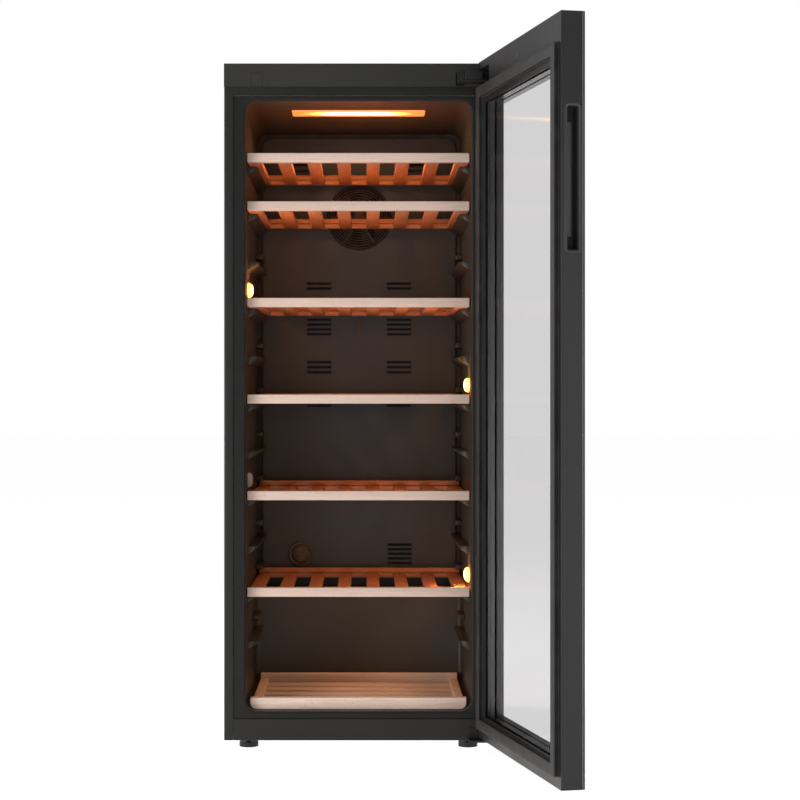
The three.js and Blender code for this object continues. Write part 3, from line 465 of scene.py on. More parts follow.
def ring(low, high, radius, profile, segments=3):
    """A closed ring round a rectangle, its section given as (inset, depth) points in order."""
    bm = bmesh.new()
    face = plate(bm, low, high, radius, segments)
    bmesh.ops.delete(bm, geom=[face], context="FACES_ONLY")
    middle, size = (low + high) / 2, high - low
    verts, edges = list(bm.verts), list(bm.edges)
    inset, depth = profile[0]
    shrink(bm, verts, middle, size, 0.0, inset)
    bmesh.ops.translate(bm, vec=(0, depth - low.y, 0), verts=verts)
    for next_inset, next_depth in profile[1:] + profile[:1]:
        grown = bmesh.ops.extrude_edge_only(bm, edges=edges)["geom"]
        verts = [v for v in grown if isinstance(v, bmesh.types.BMVert)]
        edges = [e for e in grown if isinstance(e, bmesh.types.BMEdge) and all(v in verts for v in e.verts)]
        shrink(bm, verts, middle, size, inset, next_inset)
        bmesh.ops.translate(bm, vec=(0, next_depth - depth, 0), verts=verts)
        inset, depth = next_inset, next_depth
    bmesh.ops.remove_doubles(bm, verts=bm.verts, dist=WELD)
    bmesh.ops.recalc_face_normals(bm, faces=bm.faces)
    return bm


def shrink(bm, verts, middle, size, inset, next_inset):
    """Moves a loop's sides from one inset to another."""
    across = (size.x - 2 * next_inset) / (size.x - 2 * inset)
    upright = (size.z - 2 * next_inset) / (size.z - 2 * inset)
    bmesh.ops.scale(bm, vec=(across, 1, upright), space=Matrix.Translation(-middle), verts=verts)


def extruded(bm, face, along):
    """Draws a face out into a solid with its faces outwards."""
    grown = bmesh.ops.extrude_face_region(bm, geom=[face])["geom"]
    moved = [v for v in grown if isinstance(v, bmesh.types.BMVert)]
    bmesh.ops.translate(bm, vec=along, verts=moved)
    bmesh.ops.recalc_face_normals(bm, faces=bm.faces)


def between(low, high):
    """Middle of a box."""
    return (low + high) / 2


def open_door(bm):
    """Turns pieces made with the door shut to where the open door has them."""
    bmesh.ops.transform(bm, matrix=SHUT_TO_OPEN, verts=bm.verts)


def dress(node, material, radius=None, segments=2):
    """Gives a CAD node its finish, with welded corners and softened edges."""
    piece = frame["nodes"][node]
    mesh = piece.data
    if "custom_normal" in mesh.attributes:
        mesh.attributes.remove(mesh.attributes["custom_normal"])
    mesh.polygons.foreach_set("use_smooth", [True] * len(mesh.polygons))
    mesh.materials.clear()
    mesh.materials.append(material)
    weld = piece.modifiers.new("Weld", "WELD")
    weld.merge_threshold = 2 * WELD
    flat = piece.modifiers.new("Flat faces", "DECIMATE")
    flat.decimate_type = "DISSOLVE"
    flat.angle_limit = math.radians(0.5)
    edge = piece.modifiers.new("Edges", "BEVEL")
    edge.width = sizes().edge_radius if radius is None else radius
    edge.segments = segments
    edge.limit_method = "ANGLE"
    edge.angle_limit = math.radians(40)
    edge.harden_normals = True
    return piece


# ---- operators ------------------------------------------------------------------------------
class COOLER_OT_cabinet(bpy.types.Operator):
    """Finish the shell, kick panel, cap, hinge pieces, rear and feet"""

    bl_idname = "cooler.cabinet"
    bl_label = "Cabinet"

    def execute(self, context):
        c = colours()
        steel = painted("painted_steel", tuple(c.steel))
        cap = moulded("cap_plastic", tuple(c.cap), 0.42)
        black = moulded("black_plastic", (0.012, 0.012, 0.012), 0.45)
        galvanised = brushed("galvanised_sheet", (0.42, 0.43, 0.45), 1, 0.45)
        dress("top_cap", cap, 1.0 * MM, 3)
        for material, radius, nodes in (
                (steel, 0.25 * MM, ("outer_shell", "kick_panel", "rear_sheet", "machine_cover")),
                (cap, 0.5 * MM, ("hinge_plug",)),
                (black, 1.0 * MM, ("control_box", "drip_tray", "upper_hinge_cover", "front_foot_left",
                                   "front_foot_right", "rear_foot_left", "rear_foot_right")),
                (black, 0.4 * MM, ("upper_hinge_bracket", "lower_hinge_bracket")),
                (galvanised, 0.2 * MM, ("base_tray", "compressor_plate")),
                (rubber("gland_rubber", tuple(c.rubber)), 0.3 * MM, ("cord_gland",)),
                (foam("rigid_foam"), 0.2 * MM, ("insulation_foam",))):
            for node in nodes:
                dress(node, material, radius)
        # The dark strip in the groove round the flange is painted shade.
        self.shade_groove(rubber("groove_painted_shade", tuple(c.rubber)))
        return {"FINISHED"}

    def shade_groove(self, material):
        """A dark rubber strip in the groove round the liner's flange, standing in for the shade in the
        groove: painted shade.
        """
        low, high = flange_box
        wide = 1.4 * MM
        around = Vector((wide, 0, wide))
        front, back = low.y + 0.6 * MM, low.y + 2.2 * MM
        bm = ring(low - around, high + around, 1.5 * MM,
                  [(0.0, back), (0.0, front + 0.3 * MM), (wide * 0.25, front), (wide * 0.75, front),
                   (wide, front + 0.3 * MM), (wide, back)])
        finished(bm, "groove_shade_bead", material, "cabinet")


class COOLER_OT_machine(bpy.types.Operator):
    """Finish the compressor, condenser, evaporator, fan motor and impeller"""

    bl_idname = "cooler.machine"
    bl_label = "Cooling machine"

    def execute(self, context):
        enamel = painted("compressor_enamel", (0.01, 0.01, 0.01), 0.3)
        # The fins are painted dark as shade, so the vents in front of them read dark; the lamp board shares
        # this finish.
        fins = brushed("fins_painted_shade", (0.03, 0.03, 0.03), 0)
        black = moulded("fan_plastic", (0.015, 0.015, 0.015), 0.45)
        for node, material, radius in (
                ("compressor", enamel, 0.6 * MM), ("condenser_coil", enamel, 0.5 * MM),
                ("evaporator", fins, 0.1 * MM), ("fan_motor", black, 0.5 * MM),
                ("fan_impeller", black, 0.3 * MM), ("ceiling_lamp_board", fins, 0.1 * MM)):
            dress(node, material, radius)
        return {"FINISHED"}


class COOLER_OT_liner(bpy.types.Operator):
    """Model the moulded liner with its flange, rolled lip, step and ledges"""

    bl_idname = "cooler.liner"
    bl_label = "Inner liner"

    roll = 2.5 * MM
    step_depth = 327.5 * MM
    step_radius = 11 * MM
    ledge_levels = 11
    ledge_front = 90 * MM
    ledge_end = 8 * MM
    ledge_reach = 19 * MM
    ledge_edge = 5 * MM
    ledge_root = 17 * MM
    nose_radius = 16 * MM
    stop_reach = 14 * MM
    stop_gap = 5 * MM
    stop_length = 80 * MM
    stop_height = 10 * MM

    def execute(self, context):
        s = sizes()
        half = (lip_box[1].x - lip_box[0].x) / 2 + s.shelf_clearance
        floor = rack_box[0].z - 0.5 * MM
        ceiling = lens_box[0].z + 2 * MM
        back = panel_box[1].y + TOUCH
        step_top = panel_box[0].z - TOUCH
        flange_y = flange_box[0].y
        outer = self.cavity(half, floor, ceiling, back, step_top, flange_y, s.opening_radius)
        self.flange(outer, half, floor, ceiling, flange_y, s.opening_radius)
        self.ledges(outer, half, step_top)
        flange_y += self.roll
        # Faces on the flange take the darker copy of the plastic, which is painted shade; the rest take the
        # walls' colour.
        for face in outer.faces:
            face.material_index = int(face.calc_center_median().y > flange_y)
        c = colours()
        piece = finished(outer, "liner", moulded("flange_plastic_painted_shade", tuple(c.flange), 0.45), "cabinet",
                         ["inner_liner"])
        piece.data.materials.append(moulded("wall_plastic", tuple(c.liner), 0.36))
        return {"FINISHED"}

    def cavity(self, half, floor, ceiling, back, step_top, front, radius):
        """The tub: an L seen from the side, with round corners, open at the front."""
        step_face = front + self.step_depth
        bm = bmesh.new()
        side = [(front + self.roll, floor), (step_face, floor), (step_face, step_top), (back, step_top),
                (back, ceiling), (front + self.roll, ceiling)]
        face = bm.faces.new([bm.verts.new((CENTRE - half, y, z)) for y, z in side])
        extruded(bm, face, (2 * half, 0, 0))
        mouth = [f for f in bm.faces if f.normal.y < -0.9 and f.calc_center_median().y < front + 10 * MM]
        bmesh.ops.delete(bm, geom=mouth, context="FACES")

        def runs_back(edge):
            return abs((edge.verts[0].co - edge.verts[1].co).normalized().y) > 0.9

        corners = [e for e in bm.edges if runs_back(e) and len(e.link_faces) == 2
                   and abs(e.verts[0].co.z - step_top) > 1 * MM]
        rounding(bm, corners, radius, 8)
        rest = [e for e in bm.edges if len(e.link_faces) == 2 and e.calc_face_angle(0) > math.radians(60)]
        rounding(bm, rest, self.step_radius, 5)
        bmesh.ops.reverse_faces(bm, faces=bm.faces)
        return bm

    def flange(self, bm, half, floor, ceiling, front, radius):
        """The flange round the opening, which rolls into the tub."""
        low = Vector((flange_box[0].x, front, flange_box[0].z))
        high = Vector((flange_box[1].x, front, flange_box[1].z))
        part = bmesh.new()
        face = plate(part, low, high, 1 * MM, 3)
        bmesh.ops.delete(part, geom=[face], context="FACES_ONLY")
        steps = [(self.roll * (1 - math.sin(a)), self.roll * (1 - math.cos(a)))
                 for a in (eighth * math.pi / 8 for eighth in range(5))]
        loops = [list(part.edges)]
        for grow, deep in steps:
            ring_face = plate(part, Vector((CENTRE - half - grow, front + deep, floor - grow)),
                              Vector((CENTRE + half + grow, front + deep, ceiling + grow)), radius + grow)
            loops.append(list(ring_face.edges))
            bmesh.ops.delete(part, geom=[ring_face], context="FACES_ONLY")
        for first, second in zip(loops, loops[1:]):
            bmesh.ops.bridge_loops(part, edges=first + second)
        bmesh.ops.recalc_face_normals(part, faces=part.faces)
        facing = sum(f.normal.y * f.calc_area() for f in part.faces)
        if facing > 0:
            bmesh.ops.reverse_faces(part, faces=part.faces)
        add(bm, part)

    def ledges(self, bm, half, step_top):
        """Ledges at every level, each with a round nose, and the tilt stops over them."""
        pitch = lip_box[1].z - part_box("shelf_2_front")[1].z
        shelf_bottom = lip_box[0].z
        front = FRONT + self.ledge_front
        for level in range(self.ledge_levels):
            top = shelf_bottom - TOUCH - level * pitch
            above_step = top - self.ledge_root > step_top
            deep = panel_box[0].y - (self.ledge_end if above_step else STEP_SETBACK)
            for side in (-1, 1):
                wall = CENTRE + side * (half + 1 * MM)
                inner = CENTRE + side * (half - self.ledge_reach)
                part = bmesh.new()
                section = [(wall, top), (inner, top), (inner, top - self.ledge_edge),
                           (wall, top - self.ledge_root)]
                face = part.faces.new([part.verts.new((x, front, z)) for x, z in section])
                extruded(part, face, (0, deep - front, 0))
                nose = [e for e in part.edges
                        if all(v.co.y < front + 1 * MM and abs(v.co.x - inner) < 0.1 * MM for v in e.verts)]
                rounding(part, nose, self.nose_radius, 6)
                sharp = [e for e in part.edges if e.calc_face_angle(0) > math.radians(35)]
                rounding(part, sharp, 1.2 * MM, 2)
                add(bm, part)
                left, right = sorted((wall, CENTRE + side * (half - self.stop_reach)))
                height = top + LIP_HEIGHT + self.stop_gap
                block(bm, (left, deep - self.stop_length, height), (right, deep, height + self.stop_height),
                      2 * MM)


class COOLER_OT_duct(bpy.types.Operator):
    """Finish the duct panel and model the fan grille, filter and sensor cover"""

    bl_idname = "cooler.duct"
    bl_label = "Air duct"

    rim_width = 2 * MM
    web_width = 9 * MM
    hub_radius = 13 * MM
    wire_share = 0.14
    seal_radius = 20 * MM
    seal_width = 9.5 * MM

    def execute(self, context):
        c = colours()
        panel = moulded("panel_plastic", tuple(c.panel), 0.4)
        # Painted light: the panel fades from a front-lit middle to amber-lit sides.
        paint_light_across(panel, tuple(c.panel), tuple(c.panel_sides_painted_light), (panel_box[1].x - panel_box[0].x) / 2)
        # The grille plastic's warm, light tone is painted light: amber lamp light and highlight on the
        # wires. The filter cap shares it.
        dark = moulded("grille_plastic_painted_amber_light", (0.075, 0.058, 0.050), 0.25)
        dress("duct_panel", panel, 0.6 * MM)
        self.seal()
        self.grille(dark)
        self.filter(dark)
        dress("sensor_cover", moulded("sensor_plastic", (0.075, 0.065, 0.058), 0.3), 0.8 * MM, 3)
        return {"FINISHED"}

    def seal(self):
        """The soft strip that closes the gap between the duct panel and the cavity's walls."""
        around = Vector((1, 0, 1)) * (self.seal_width + 0.2 * MM)
        low, high = panel_box[0] - around, panel_box[1] + around
        low.z = panel_box[0].z
        front, back = panel_box[0].y + 5 * MM, panel_box[0].y + 9 * MM
        bm = ring(low, high, self.seal_radius,
                  [(0.0, back), (0.0, front), (self.seal_width, front), (self.seal_width, back)], 8)
        strip = rubber("panel_seal_foam", (0.040, 0.035, 0.030))
        finished(bm, "panel_seal", strip, "cabinet")

    def turned(self, profile, centre, segments=64):
        """A shape turned about the Y axis through a centre, from (radius, depth) points."""
        part = bmesh.new()
        verts = [part.verts.new((r, y, 0)) for r, y in profile]
        edges = [part.edges.new(pair) for pair in zip(verts, verts[1:] + verts[:1])]
        bmesh.ops.spin(part, geom=verts + edges, cent=(0, 0, 0), axis=(0, 1, 0), angle=2 * math.pi,
                       steps=segments, use_merge=True)
        bmesh.ops.recalc_face_normals(part, faces=part.faces)
        bmesh.ops.translate(part, vec=centre, verts=part.verts)
        return part

    def grille(self, material):
        low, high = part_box("fan_grille")
        centre = between(low, high) * Vector((1, 0, 1))
        radius = (high.x - low.x) / 2
        front, back = low.y, high.y
        bm = bmesh.new()
        wires, web = radius - self.rim_width, radius - self.web_width
        rim = [(radius, back), (radius - 0.4 * MM, front + 0.8 * MM), (radius - 1.4 * MM, front + 0.4 * MM),
               (wires, back)]
        web = [(wires, back), (wires - 0.2 * MM, back - 0.6 * MM), (web, back - 0.6 * MM), (web, back)]
        for name, section, finish in (
                # The rim's reddish tone is painted amber lamp light.
                ("guard_rim", rim, moulded("rim_plastic_painted_amber_light", (0.055, 0.035, 0.028), 0.3)),
                ("guard_web", web, moulded("web_plastic", (0.006, 0.005, 0.0045), 0.6))):
            finished(self.turned(section, centre), name, finish, "cabinet")
        rings = sizes().grille_rings
        inner_edge = self.hub_radius
        pitch = (wires - inner_edge) / rings
        for index in range(rings):
            middle = inner_edge + (index + 0.5) * pitch
            wide = pitch * self.wire_share
            add(bm, self.turned([(middle - wide, back), (middle - wide * 0.6, front + 0.5 * MM),
                                 (middle + wide * 0.6, front + 0.5 * MM), (middle + wide, back)], centre))
        hub = [(0.01 * MM, back), (0.01 * MM, front + 0.2 * MM), (9 * MM, front + 0.4 * MM),
               (inner_edge - 1 * MM, front + 1.2 * MM), (inner_edge - 0.5 * MM, back)]
        add(bm, self.turned(hub, centre))
        for index in range(3):
            rib = bmesh.new()
            bmesh.ops.create_cube(rib, size=1.0)
            bmesh.ops.scale(rib, vec=(2 * radius - 14 * MM, 1.6 * MM, 2.4 * MM), verts=rib.verts)
            rounding(rib, rib.edges, 0.4 * MM, 2)
            bmesh.ops.rotate(rib, cent=(0, 0, 0), matrix=Matrix.Rotation(index * math.pi / 3, 3, "Y"),
                             verts=rib.verts)
            bmesh.ops.translate(rib, vec=centre + Vector((0, (front + back) / 2 + 0.4 * MM, 0)),
                                verts=rib.verts)
            add(bm, rib)
        finished(bm, "fan_guard", material, "cabinet", ["fan_grille"])

    def filter(self, material):
        low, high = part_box("charcoal_filter")
        centre = between(low, high) * Vector((1, 0, 1))
        radius = (high.x - low.x) / 2
        back = high.y
        bm = bmesh.new()
        cap = [(0.01 * MM, back - 8 * MM), (15.5 * MM, back - 8 * MM), (17 * MM, back - 7 * MM),
               (17.2 * MM, back - 3.2 * MM), (19 * MM, back - 2.2 * MM), (21 * MM, back - 3.6 * MM),
               (radius - 2 * MM, back - 4 * MM), (radius, back - 2.5 * MM), (radius, back),
               (0.01 * MM, back)]
        add(bm, self.turned(cap, centre, 48))
        block(bm, (centre.x - 14 * MM, back - 12 * MM, centre.z - 2.5 * MM),
              (centre.x + 14 * MM, back - 7.5 * MM, centre.z + 2.5 * MM), 1 * MM, 3)
        finished(bm, "filter_cap", material, "filter", ["charcoal_filter"])


class COOLER_OT_lamps(bpy.types.Operator):
    """Finish the ceiling lens and side lamps and set their light"""

    bl_idname = "cooler.lamps"
    bl_label = "Lamps"

    chips = (-38 * MM, 0.0, 38 * MM)
    glow_watts = 1.5
    wash_watts = 0.15
    side_watts = 0.6
    upward_watts = (0.12, 0.10, 0.08, 0.0, 0.0, 0.0)
    downward_watts = (0.0, 0.18, 0.22, 0.22, 0.22, 0.3)

    def execute(self, context):
        low = lens_box[0]
        middle = between(*lens_box)
        spots = [(middle.x + offset, middle.y, low.z) for offset in self.chips]
        dress("ceiling_lamp_lens", lamp_cover("ceiling_lens", spots, 85 * MM, 7.0, (1, 2.2, 1)), 0.5 * MM)
        self.light("ceiling_glow", "AREA", (middle.x, middle.y, low.z - 3 * MM), self.glow_watts,
                   (0.20, 0.05))
        self.light("ceiling_wash", "AREA", (middle.x, middle.y + 60 * MM, low.z - 70 * MM), self.wash_watts,
                   (0.3, 0.2), upwards=True)
        for node in SIDE_LAMPS:
            centre = between(*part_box(node))
            if node == UNLIT_LAMP:
                dress(node, moulded("unlit_lamp", (0.5, 0.42, 0.36), 0.3), 0.6 * MM, 3)
                continue
            dress(node, lamp_cover(f"{node}_glow", [tuple(centre)], 26 * MM, 14.0), 0.6 * MM, 3)
            inwards = 1 if centre.x < CENTRE else -1
            self.light(f"{node}_light", "POINT", (centre.x + inwards * 14 * MM, centre.y, centre.z),
                       self.side_watts, 6 * MM)
        for shelf, upwards, downwards in zip(SHELVES, self.upward_watts, self.downward_watts):
            a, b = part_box(f"{shelf}_deck")
            middle = (a.y + b.y) / 2
            if upwards:
                self.light(f"{shelf}_up", "AREA", (CENTRE, middle, a.z - 60 * MM), upwards, (0.3, 0.3),
                           upwards=True)
            if downwards:
                self.light(f"{shelf}_down", "AREA", (CENTRE, middle, a.z - 4 * MM), downwards, (0.36, 0.3))
        return {"FINISHED"}

    def light(self, name, kind, place, watts, size, upwards=False):
        data = bpy.data.lights.new(name, kind)
        data.color = tuple(colours().amber)
        data.energy = watts
        if kind == "AREA":
            data.shape = "RECTANGLE"
            data.size, data.size_y = size
        else:
            data.shadow_soft_size = size
        lamp = bpy.data.objects.new(name, data)
        lamp.location = place
        if upwards:
            lamp.rotation_euler = (math.pi, 0, 0)
        lamp.visible_camera = False
        lamp.visible_glossy = False
        bpy.context.scene.collection.objects.link(lamp)


class COOLER_OT_shelves(bpy.types.Operator):
    """Model the six slatted shelves with their lips and rear rails"""

    bl_idname = "cooler.shelves"
    bl_label = "Shelves"

    slats = 8
    slat_width = 25 * MM
    slat_height = 10 * MM
    rail_thickness = 14 * MM

    def execute(self, context):
        c = colours()
        pale = beech("beech_lip", 0)
        slat = beech("oiled_slat", 1, c.oiled_light, c.oiled_dark)
        rail = beech("oiled_rail", 0, c.oiled_light, c.oiled_dark)
        for shelf in SHELVES:
            self.front(shelf, pale)
            self.deck(shelf, slat)
            self.rail(shelf, rail)
        return {"FINISHED"}

    def front(self, shelf, material):
        low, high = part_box(f"{shelf}_front")
        bm = bmesh.new()
        block(bm, low, high, sizes().wood_radius, 3)
        finished(bm, f"{shelf}_lip", material, shelf, [f"{shelf}_front"])

    def deck(self, shelf, material):
        low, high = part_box(f"{shelf}_deck")
        bm = bmesh.new()
        pitch = (high.x - low.x - self.slat_width) / (self.slats - 1)
        for index in range(self.slats):
            x = low.x + index * pitch
            block(bm, (x, low.y, low.z), (x + self.slat_width, high.y - 2 * MM, low.z + self.slat_height),
                  sizes().wood_radius, 2)
            for y in (low.y + 10 * MM, high.y - 9 * MM):
                self.nail(bm, x + self.slat_width / 2, y, low.z)
        finished(bm, f"{shelf}_slats", material, shelf, [f"{shelf}_deck"])

    def nail(self, bm, x, y, z):
        """A countersunk staple head under the slat."""
        head = bmesh.new()
        bmesh.ops.create_cone(head, cap_ends=True, segments=10, radius1=1.6 * MM, radius2=1.6 * MM,
                              depth=0.4 * MM)
        bmesh.ops.translate(head, vec=(x, y, z + 0.1 * MM), verts=head.verts)
        add(bm, head)

    def rail(self, shelf, material):
        low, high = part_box(f"{shelf}_deck")
        bm = bmesh.new()
        radius = sizes().wood_radius
        block(bm, (low.x, high.y - self.rail_thickness, low.z + self.slat_height + 0.1 * MM),
              (high.x, high.y, high.z), radius, 3)
        block(bm, (low.x + 0.5 * MM, high.y - self.rail_thickness - 3 * MM, low.z + 0.2 * MM),
              (high.x - 0.5 * MM, high.y - 1.5 * MM, low.z + self.slat_height * 0.93), radius, 2)
        block(bm, (low.x + 0.5 * MM, low.y, low.z + 0.4 * MM),
              (high.x - 0.5 * MM, low.y + 6 * MM, low.z + self.slat_height * 0.8), radius * 0.6, 2)
        finished(bm, f"{shelf}_rails", material, shelf)


class COOLER_OT_rack(bpy.types.Operator):
    """Model the low rack on the cavity floor"""

    bl_idname = "cooler.rack"
    bl_label = "Bottom rack"

    slats = 4
    slat_pitch = 59.5 * MM
    slat_width = 36 * MM
    slat_start = 15 * MM
    rail_width = 17 * MM
    rail_lift = 6 * MM
    rail_top = 17 * MM

    def execute(self, context):
        c = colours()
        # The lip's beech is a lighter copy of the shelves' beech: painted light on the low lip.
        across = beech("rack_lip_beech_painted_light", 0, (0.95, 0.735, 0.61))
        slat_wood = beech("rack_across", 0, c.beech_light, c.beech_dark)
        lengthwise = beech("rack_lengthwise", 1, c.beech_light, c.beech_dark)
        radius = sizes().wood_radius
        low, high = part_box("rack_front")
        bm = bmesh.new()
        block(bm, low, high)
        bottom = [e for e in bm.edges if all(v.co.z < low.z + 1 * MM for v in e.verts)
                  and abs(e.verts[0].co.y - e.verts[1].co.y) > 10 * MM]
        rounding(bm, bottom, 12 * MM, 8)
        sharp = [e for e in bm.edges if e.calc_face_angle(0) > math.radians(50)]
        rounding(bm, sharp, radius, 3)
        finished(bm, "rack_lip", across, "rack", ["rack_front"])

        low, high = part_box("rack_deck")
        rail_low = low.z + self.rail_lift
        sides = bmesh.new()
        for a, b in ((low.x, low.x + self.rail_width), (high.x - self.rail_width, high.x)):
            block(sides, (a, low.y, rail_low), (b, high.y - 14.2 * MM, low.z + self.rail_top), radius, 3)
        finished(sides, "rack_sides", lengthwise, "rack", ["rack_deck"])

        cross = bmesh.new()
        inner_left, inner_right = low.x + self.rail_width, high.x - self.rail_width
        block(cross, (low.x, high.y - 14 * MM, rail_low), high, radius, 3)
        block(cross, (inner_left, high.y - 13.5 * MM, low.z),
              (inner_right, high.y - 0.5 * MM, rail_low + 2 * MM), radius, 3)
        for index in range(self.slats):
            y = low.y + self.slat_start + index * self.slat_pitch
            block(cross, (inner_left - 1 * MM, y, rail_low),
                  (inner_right + 1 * MM, y + self.slat_width, rail_low + 8 * MM), radius * 0.8, 2)
        finished(cross, "rack_slats", slat_wood, "rack")
        return {"FINISHED"}


class COOLER_OT_door(bpy.types.Operator):
    """Finish the door frame and model its enamel, panes, spacers, gasket and grip"""

    bl_idname = "cooler.door"
    bl_label = "Door"

    def execute(self, context):
        c = colours()
        frame_paint = painted("door_paint", tuple(c.door), 0.4, 1100.0)
        black = moulded("grip_plastic", (0.034, 0.034, 0.033), 0.32)
        dress("door_frame", frame_paint, 0.5 * MM, 3)
        glass = pane_glass("pane_glass")
        for node in ("door_glass_outer", "door_glass_middle", "door_glass_inner"):
            dress(node, glass, 0.3 * MM, 1)
        for node in ("spacer_outer", "spacer_inner"):
            dress(node, spacer_metal(f"{node}_metal"), 0.2 * MM, 1)
        for node in ("hinge_bush_top", "hinge_bush_bottom", "door_magnet"):
            dress(node, black, 0.3 * MM)
        self.enamel()
        self.edge_trim()
        self.gasket()
        self.grip(black)
        return {"FINISHED"}

    def enamel(self):
        """The black border printed behind the outer pane."""
        s = sizes()
        low, high = shut_box("door_glass_outer")
        layer, film = high.y + 0.05 * MM, 0.12 * MM
        material, shader = new_material("black_enamel", (0.008, 0.008, 0.008), 0.25)
        dots = pattern(material, (1, 1, 1), 900.0, 0.0, "ShaderNodeTexVoronoi")
        feed(shader, "Roughness", ramp(material, dots.outputs["Distance"], [(0.0, 0.2), (0.8, 0.32)]))
        edge = Vector((1, 0, 1)) * MM
        bm = ring(low + edge, high - edge, 1 * MM,
                  [(0.0, layer), (s.enamel_side, layer), (s.enamel_side, layer + film), (0.0, layer + film)])
        open_door(bm)
        finished(bm, "glass_enamel", material, "door")

    def edge_trim(self):
        """The painted edge of the outer pane, with a bright line at its inner arris that is a painted
        highlight.
        """
        low, high = shut_box("door_glass_outer")
        inset = Vector((0.25, 0, 0.25)) * MM
        # The second ring's light grey is a painted highlight along the pane's inner arris.
        for name, colour, front, back, edge in (
                ("glass_edge", (0.012, 0.012, 0.012), low.y + 0.1 * MM, high.y - 1.2 * MM, inset),
                ("glass_edge_painted_highlight", (0.16, 0.16, 0.16), high.y - 1.1 * MM, high.y - 0.1 * MM, inset * 0.2)):
            material, shader = new_material(name, colour, 0.35)
            grain = pattern(material, (1, 1, 1), 500.0, 2.0)
            gloss = ramp(material, grain.outputs["Fac"], [(0.3, 0.3), (0.7, 0.5)])
            feed(shader, "Roughness", gloss)
            bm = ring(low + edge, high - edge, 0.6 * MM,
                      [(0.2 * MM, front), (0.0, front + 0.2 * MM), (0.0, back - 0.2 * MM), (0.2 * MM, back),
                       (1.1 * MM, back), (1.1 * MM, front)])
            open_door(bm)
            finished(bm, name, material, "door")

    def gasket(self):
        """Magnetic gasket: a foot, two bellows folds and a flat sealing face."""
        low, high = shut_box("door_gasket")
        material = rubber("gasket_rubber", tuple(c * 2.6 for c in colours().rubber))
        rise = high.y - low.y
        side = [(0.0, 0.0), (0.0, 0.12), (1.5, 0.18), (4.6, 0.21), (4.6, 0.26), (1.2, 0.32), (1.2, 0.43),
                (4.6, 0.49), (4.6, 0.55), (1.0, 0.61), (0.5, 0.70), (0.5, 0.92), (1.6, 1.0)]
        face = [(8.0, 0.96), (13.0, 0.96)]
        width = GASKET_WIDTH / MM
        profile = side + face + [(width - inset, part) for inset, part in reversed(side)]
        bm = ring(low, high, 3 * MM, [(inset * MM, low.y + part * rise) for inset, part in profile], 4)
        open_door(bm)
        finished(bm, "gasket", material, "door", ["door_gasket"], 50)

    def grip(self, material):
        """The recessed grip: a raised frame, a deep well and a low ridge on its floor, whose lighter plastic
        is a painted highlight.
        """
        low, high = shut_box("handle_cup")
        rim, proud, wall = 5 * MM, 0.75 * MM, 1.3 * MM
        deep = high.x - low.x - wall - 0.6 * MM
        turn = Matrix.Rotation(-math.pi / 2, 4, "Z")
        well = bmesh.new()
        face = plate(well, Vector((-high.y, low.x + proud, low.z)), Vector((-low.y, 0, high.z)), 8 * MM, 6)
        contour(well, face, [(0.4 * MM, proud * 0.8), (0.5 * MM, proud * 0.2), (2.6 * MM, 0.0),
                             (0.6 * MM, -0.5 * MM), (rim - 4.2 * MM, -0.6 * MM), (0.2 * MM, -deep * 0.5),
                             (0.3 * MM, -deep * 0.35), (1.4 * MM, -deep * 0.1)])
        bmesh.ops.solidify(well, geom=well.faces[:], thickness=wall)
        ends, half = 28 * MM, 4.5 * MM
        middle = -(low.y + high.y) / 2
        floor = low.x + proud + deep * 0.97
        ridge = bmesh.new()
        block(ridge, (middle - half, floor - 2.4 * MM, low.z + ends), (middle + half, floor, high.z - ends),
              1 * MM, 4)
        for piece in (well, ridge):
            bmesh.ops.transform(piece, matrix=turn, verts=piece.verts)
            open_door(piece)
        finished(well, "grip", material, "door", ["handle_cup"], 40)
        # The ridge's lighter plastic is a painted highlight on the grip's dark plastic.
        painted_highlight_plastic = moulded("ridge_plastic_painted_highlight", (0.15, 0.15, 0.148), 0.25)
        finished(ridge, "grip_ridge", painted_highlight_plastic, "door", (), 40)


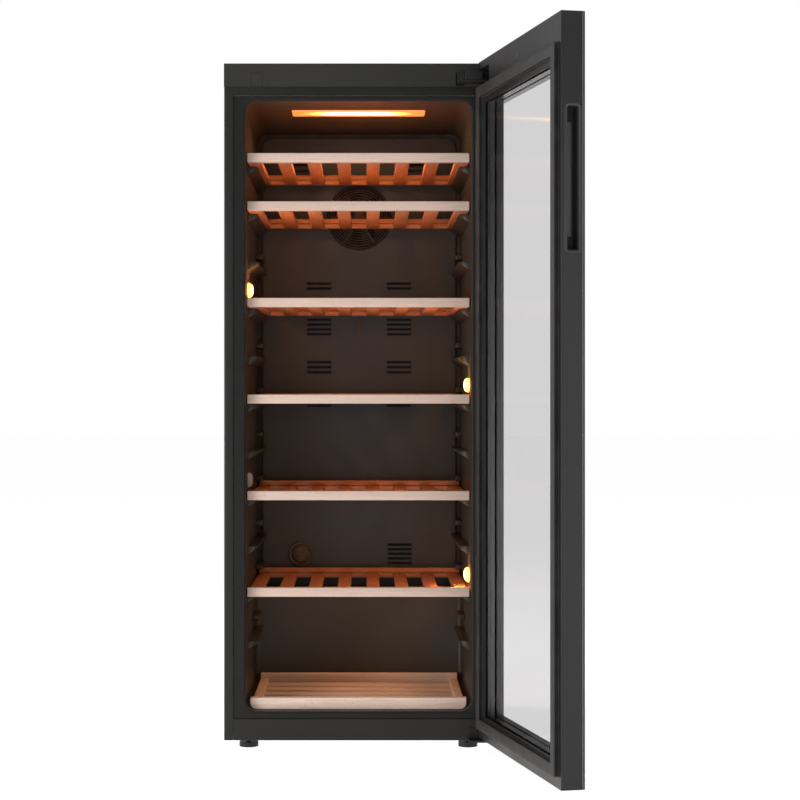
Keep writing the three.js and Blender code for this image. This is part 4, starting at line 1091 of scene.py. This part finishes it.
class COOLER_OT_stage(bpy.types.Operator):
    """Make the floor, the soft light and the camera"""

    bl_idname = "cooler.stage"
    bl_label = "Stage"

    aim_height = 0.62
    camera_distance = 3.587
    camera_height = 0.651
    camera_aside = 0.015
    lens = 87.26
    shift = (0.042, -0.0022)

    def execute(self, context):
        scene = context.scene
        scene.view_settings.view_transform = "Standard"
        self.floor()
        self.surroundings(scene)
        centre = Vector((CENTRE, FRONT, self.aim_height))
        for name, offset, size, watts in (
                ("key_left", (-2.5, -2.3, -0.25), (1.6, 2.0), 72),
                ("key_right", (2.8, -2.6, -0.25), (1.6, 2.0), 36),
                ("overhead", (0, -0.6, 2.8), (3.0, 3.0), 20),
                ("rim_left", (-2.4, 1.5, 0.2), (1.0, 2.4), 40)):
            self.softbox(name, centre + Vector(offset), centre, size, watts)
        self.camera(scene)
        return {"FINISHED"}

    def floor(self):
        bm = bmesh.new()
        bmesh.ops.create_grid(bm, x_segments=1, y_segments=1, size=30.0)
        mesh = bpy.data.meshes.new("floor")
        bm.to_mesh(mesh)
        bm.free()
        material, shader = new_material("pale_floor", (0.95, 0.95, 0.95), 0.9)
        shader.inputs["Specular IOR Level"].default_value = 0.1
        shader.inputs["Emission Color"].default_value = (1, 1, 1, 1)
        shader.inputs["Emission Strength"].default_value = 0.8
        mesh.materials.append(material)
        floor = bpy.data.objects.new("floor", mesh)
        bpy.context.scene.collection.objects.link(floor)

    def surroundings(self, scene):
        """A white backdrop behind everything, and a dimmer even light from all round."""
        world = bpy.data.worlds.new("studio")
        scene.world = world
        world.use_nodes = True
        nodes = world.node_tree.nodes
        dim, bright = nodes["Background"], nodes.new("ShaderNodeBackground")
        for node, strength in ((dim, 0.2), (bright, 1.0)):
            node.inputs["Color"].default_value = (1, 1, 1, 1)
            node.inputs["Strength"].default_value = strength
        mixed = nodes.new("ShaderNodeMixShader")
        feed(mixed, "Fac", nodes.new("ShaderNodeLightPath").outputs["Is Camera Ray"])
        feed(mixed, 1, dim.outputs["Background"])
        feed(mixed, 2, bright.outputs["Background"])
        feed(nodes["World Output"], "Surface", mixed.outputs["Shader"])

    def softbox(self, name, place, target, size, watts):
        data = bpy.data.lights.new(name, "AREA")
        data.shape = "RECTANGLE"
        data.size, data.size_y = size
        data.energy = watts
        lamp = bpy.data.objects.new(name, data)
        lamp.location = place
        lamp.rotation_mode = "QUATERNION"
        lamp.rotation_quaternion = (target - place).to_track_quat("-Z", "Y")
        bpy.context.scene.collection.objects.link(lamp)

    def camera(self, scene):
        data = bpy.data.cameras.new("camera")
        data.sensor_width = 36.0
        data.lens = self.lens
        data.shift_x, data.shift_y = self.shift
        camera = bpy.data.objects.new("camera", data)
        camera.location = (CENTRE + self.camera_aside, FRONT - self.camera_distance, self.camera_height)
        camera.rotation_euler = (math.pi / 2, 0, 0)
        scene.collection.objects.link(camera)
        scene.camera = camera


class COOLER_PT_panel(bpy.types.Panel):
    """Sizes, colours and steps of the wine cooler"""

    bl_idname = "COOLER_PT_panel"
    bl_label = "Wine cooler"
    bl_space_type = "VIEW_3D"
    bl_region_type = "UI"
    bl_category = "Wine cooler"

    def draw(self, context):
        layout = self.layout
        for group in (context.scene.cooler_sizes, context.scene.cooler_colours):
            column = layout.column(align=True)
            for name in group.bl_rna.properties.keys():
                if name not in ("rna_type", "name"):
                    column.prop(group, name)
        for operator in OPERATORS:
            layout.operator(operator.bl_idname)


OPERATORS = (
    COOLER_OT_stage,
    COOLER_OT_cabinet,
    COOLER_OT_machine,
    COOLER_OT_liner,
    COOLER_OT_duct,
    COOLER_OT_lamps,
    COOLER_OT_shelves,
    COOLER_OT_rack,
    COOLER_OT_door,
)
CLASSES = (CoolerSizes, CoolerColours, *OPERATORS, COOLER_PT_panel)


def register():
    for cls in CLASSES:
        bpy.utils.register_class(cls)
    bpy.types.Scene.cooler_sizes = bpy.props.PointerProperty(type=CoolerSizes)
    bpy.types.Scene.cooler_colours = bpy.props.PointerProperty(type=CoolerColours)


def unregister():
    del bpy.types.Scene.cooler_colours
    del bpy.types.Scene.cooler_sizes
    for cls in reversed(CLASSES):
        bpy.utils.unregister_class(cls)


def main():
    register()
    for operator in OPERATORS:
        group, name = operator.bl_idname.split(".")
        getattr(getattr(bpy.ops, group), name)()


if __name__ == "__main__":
    main()
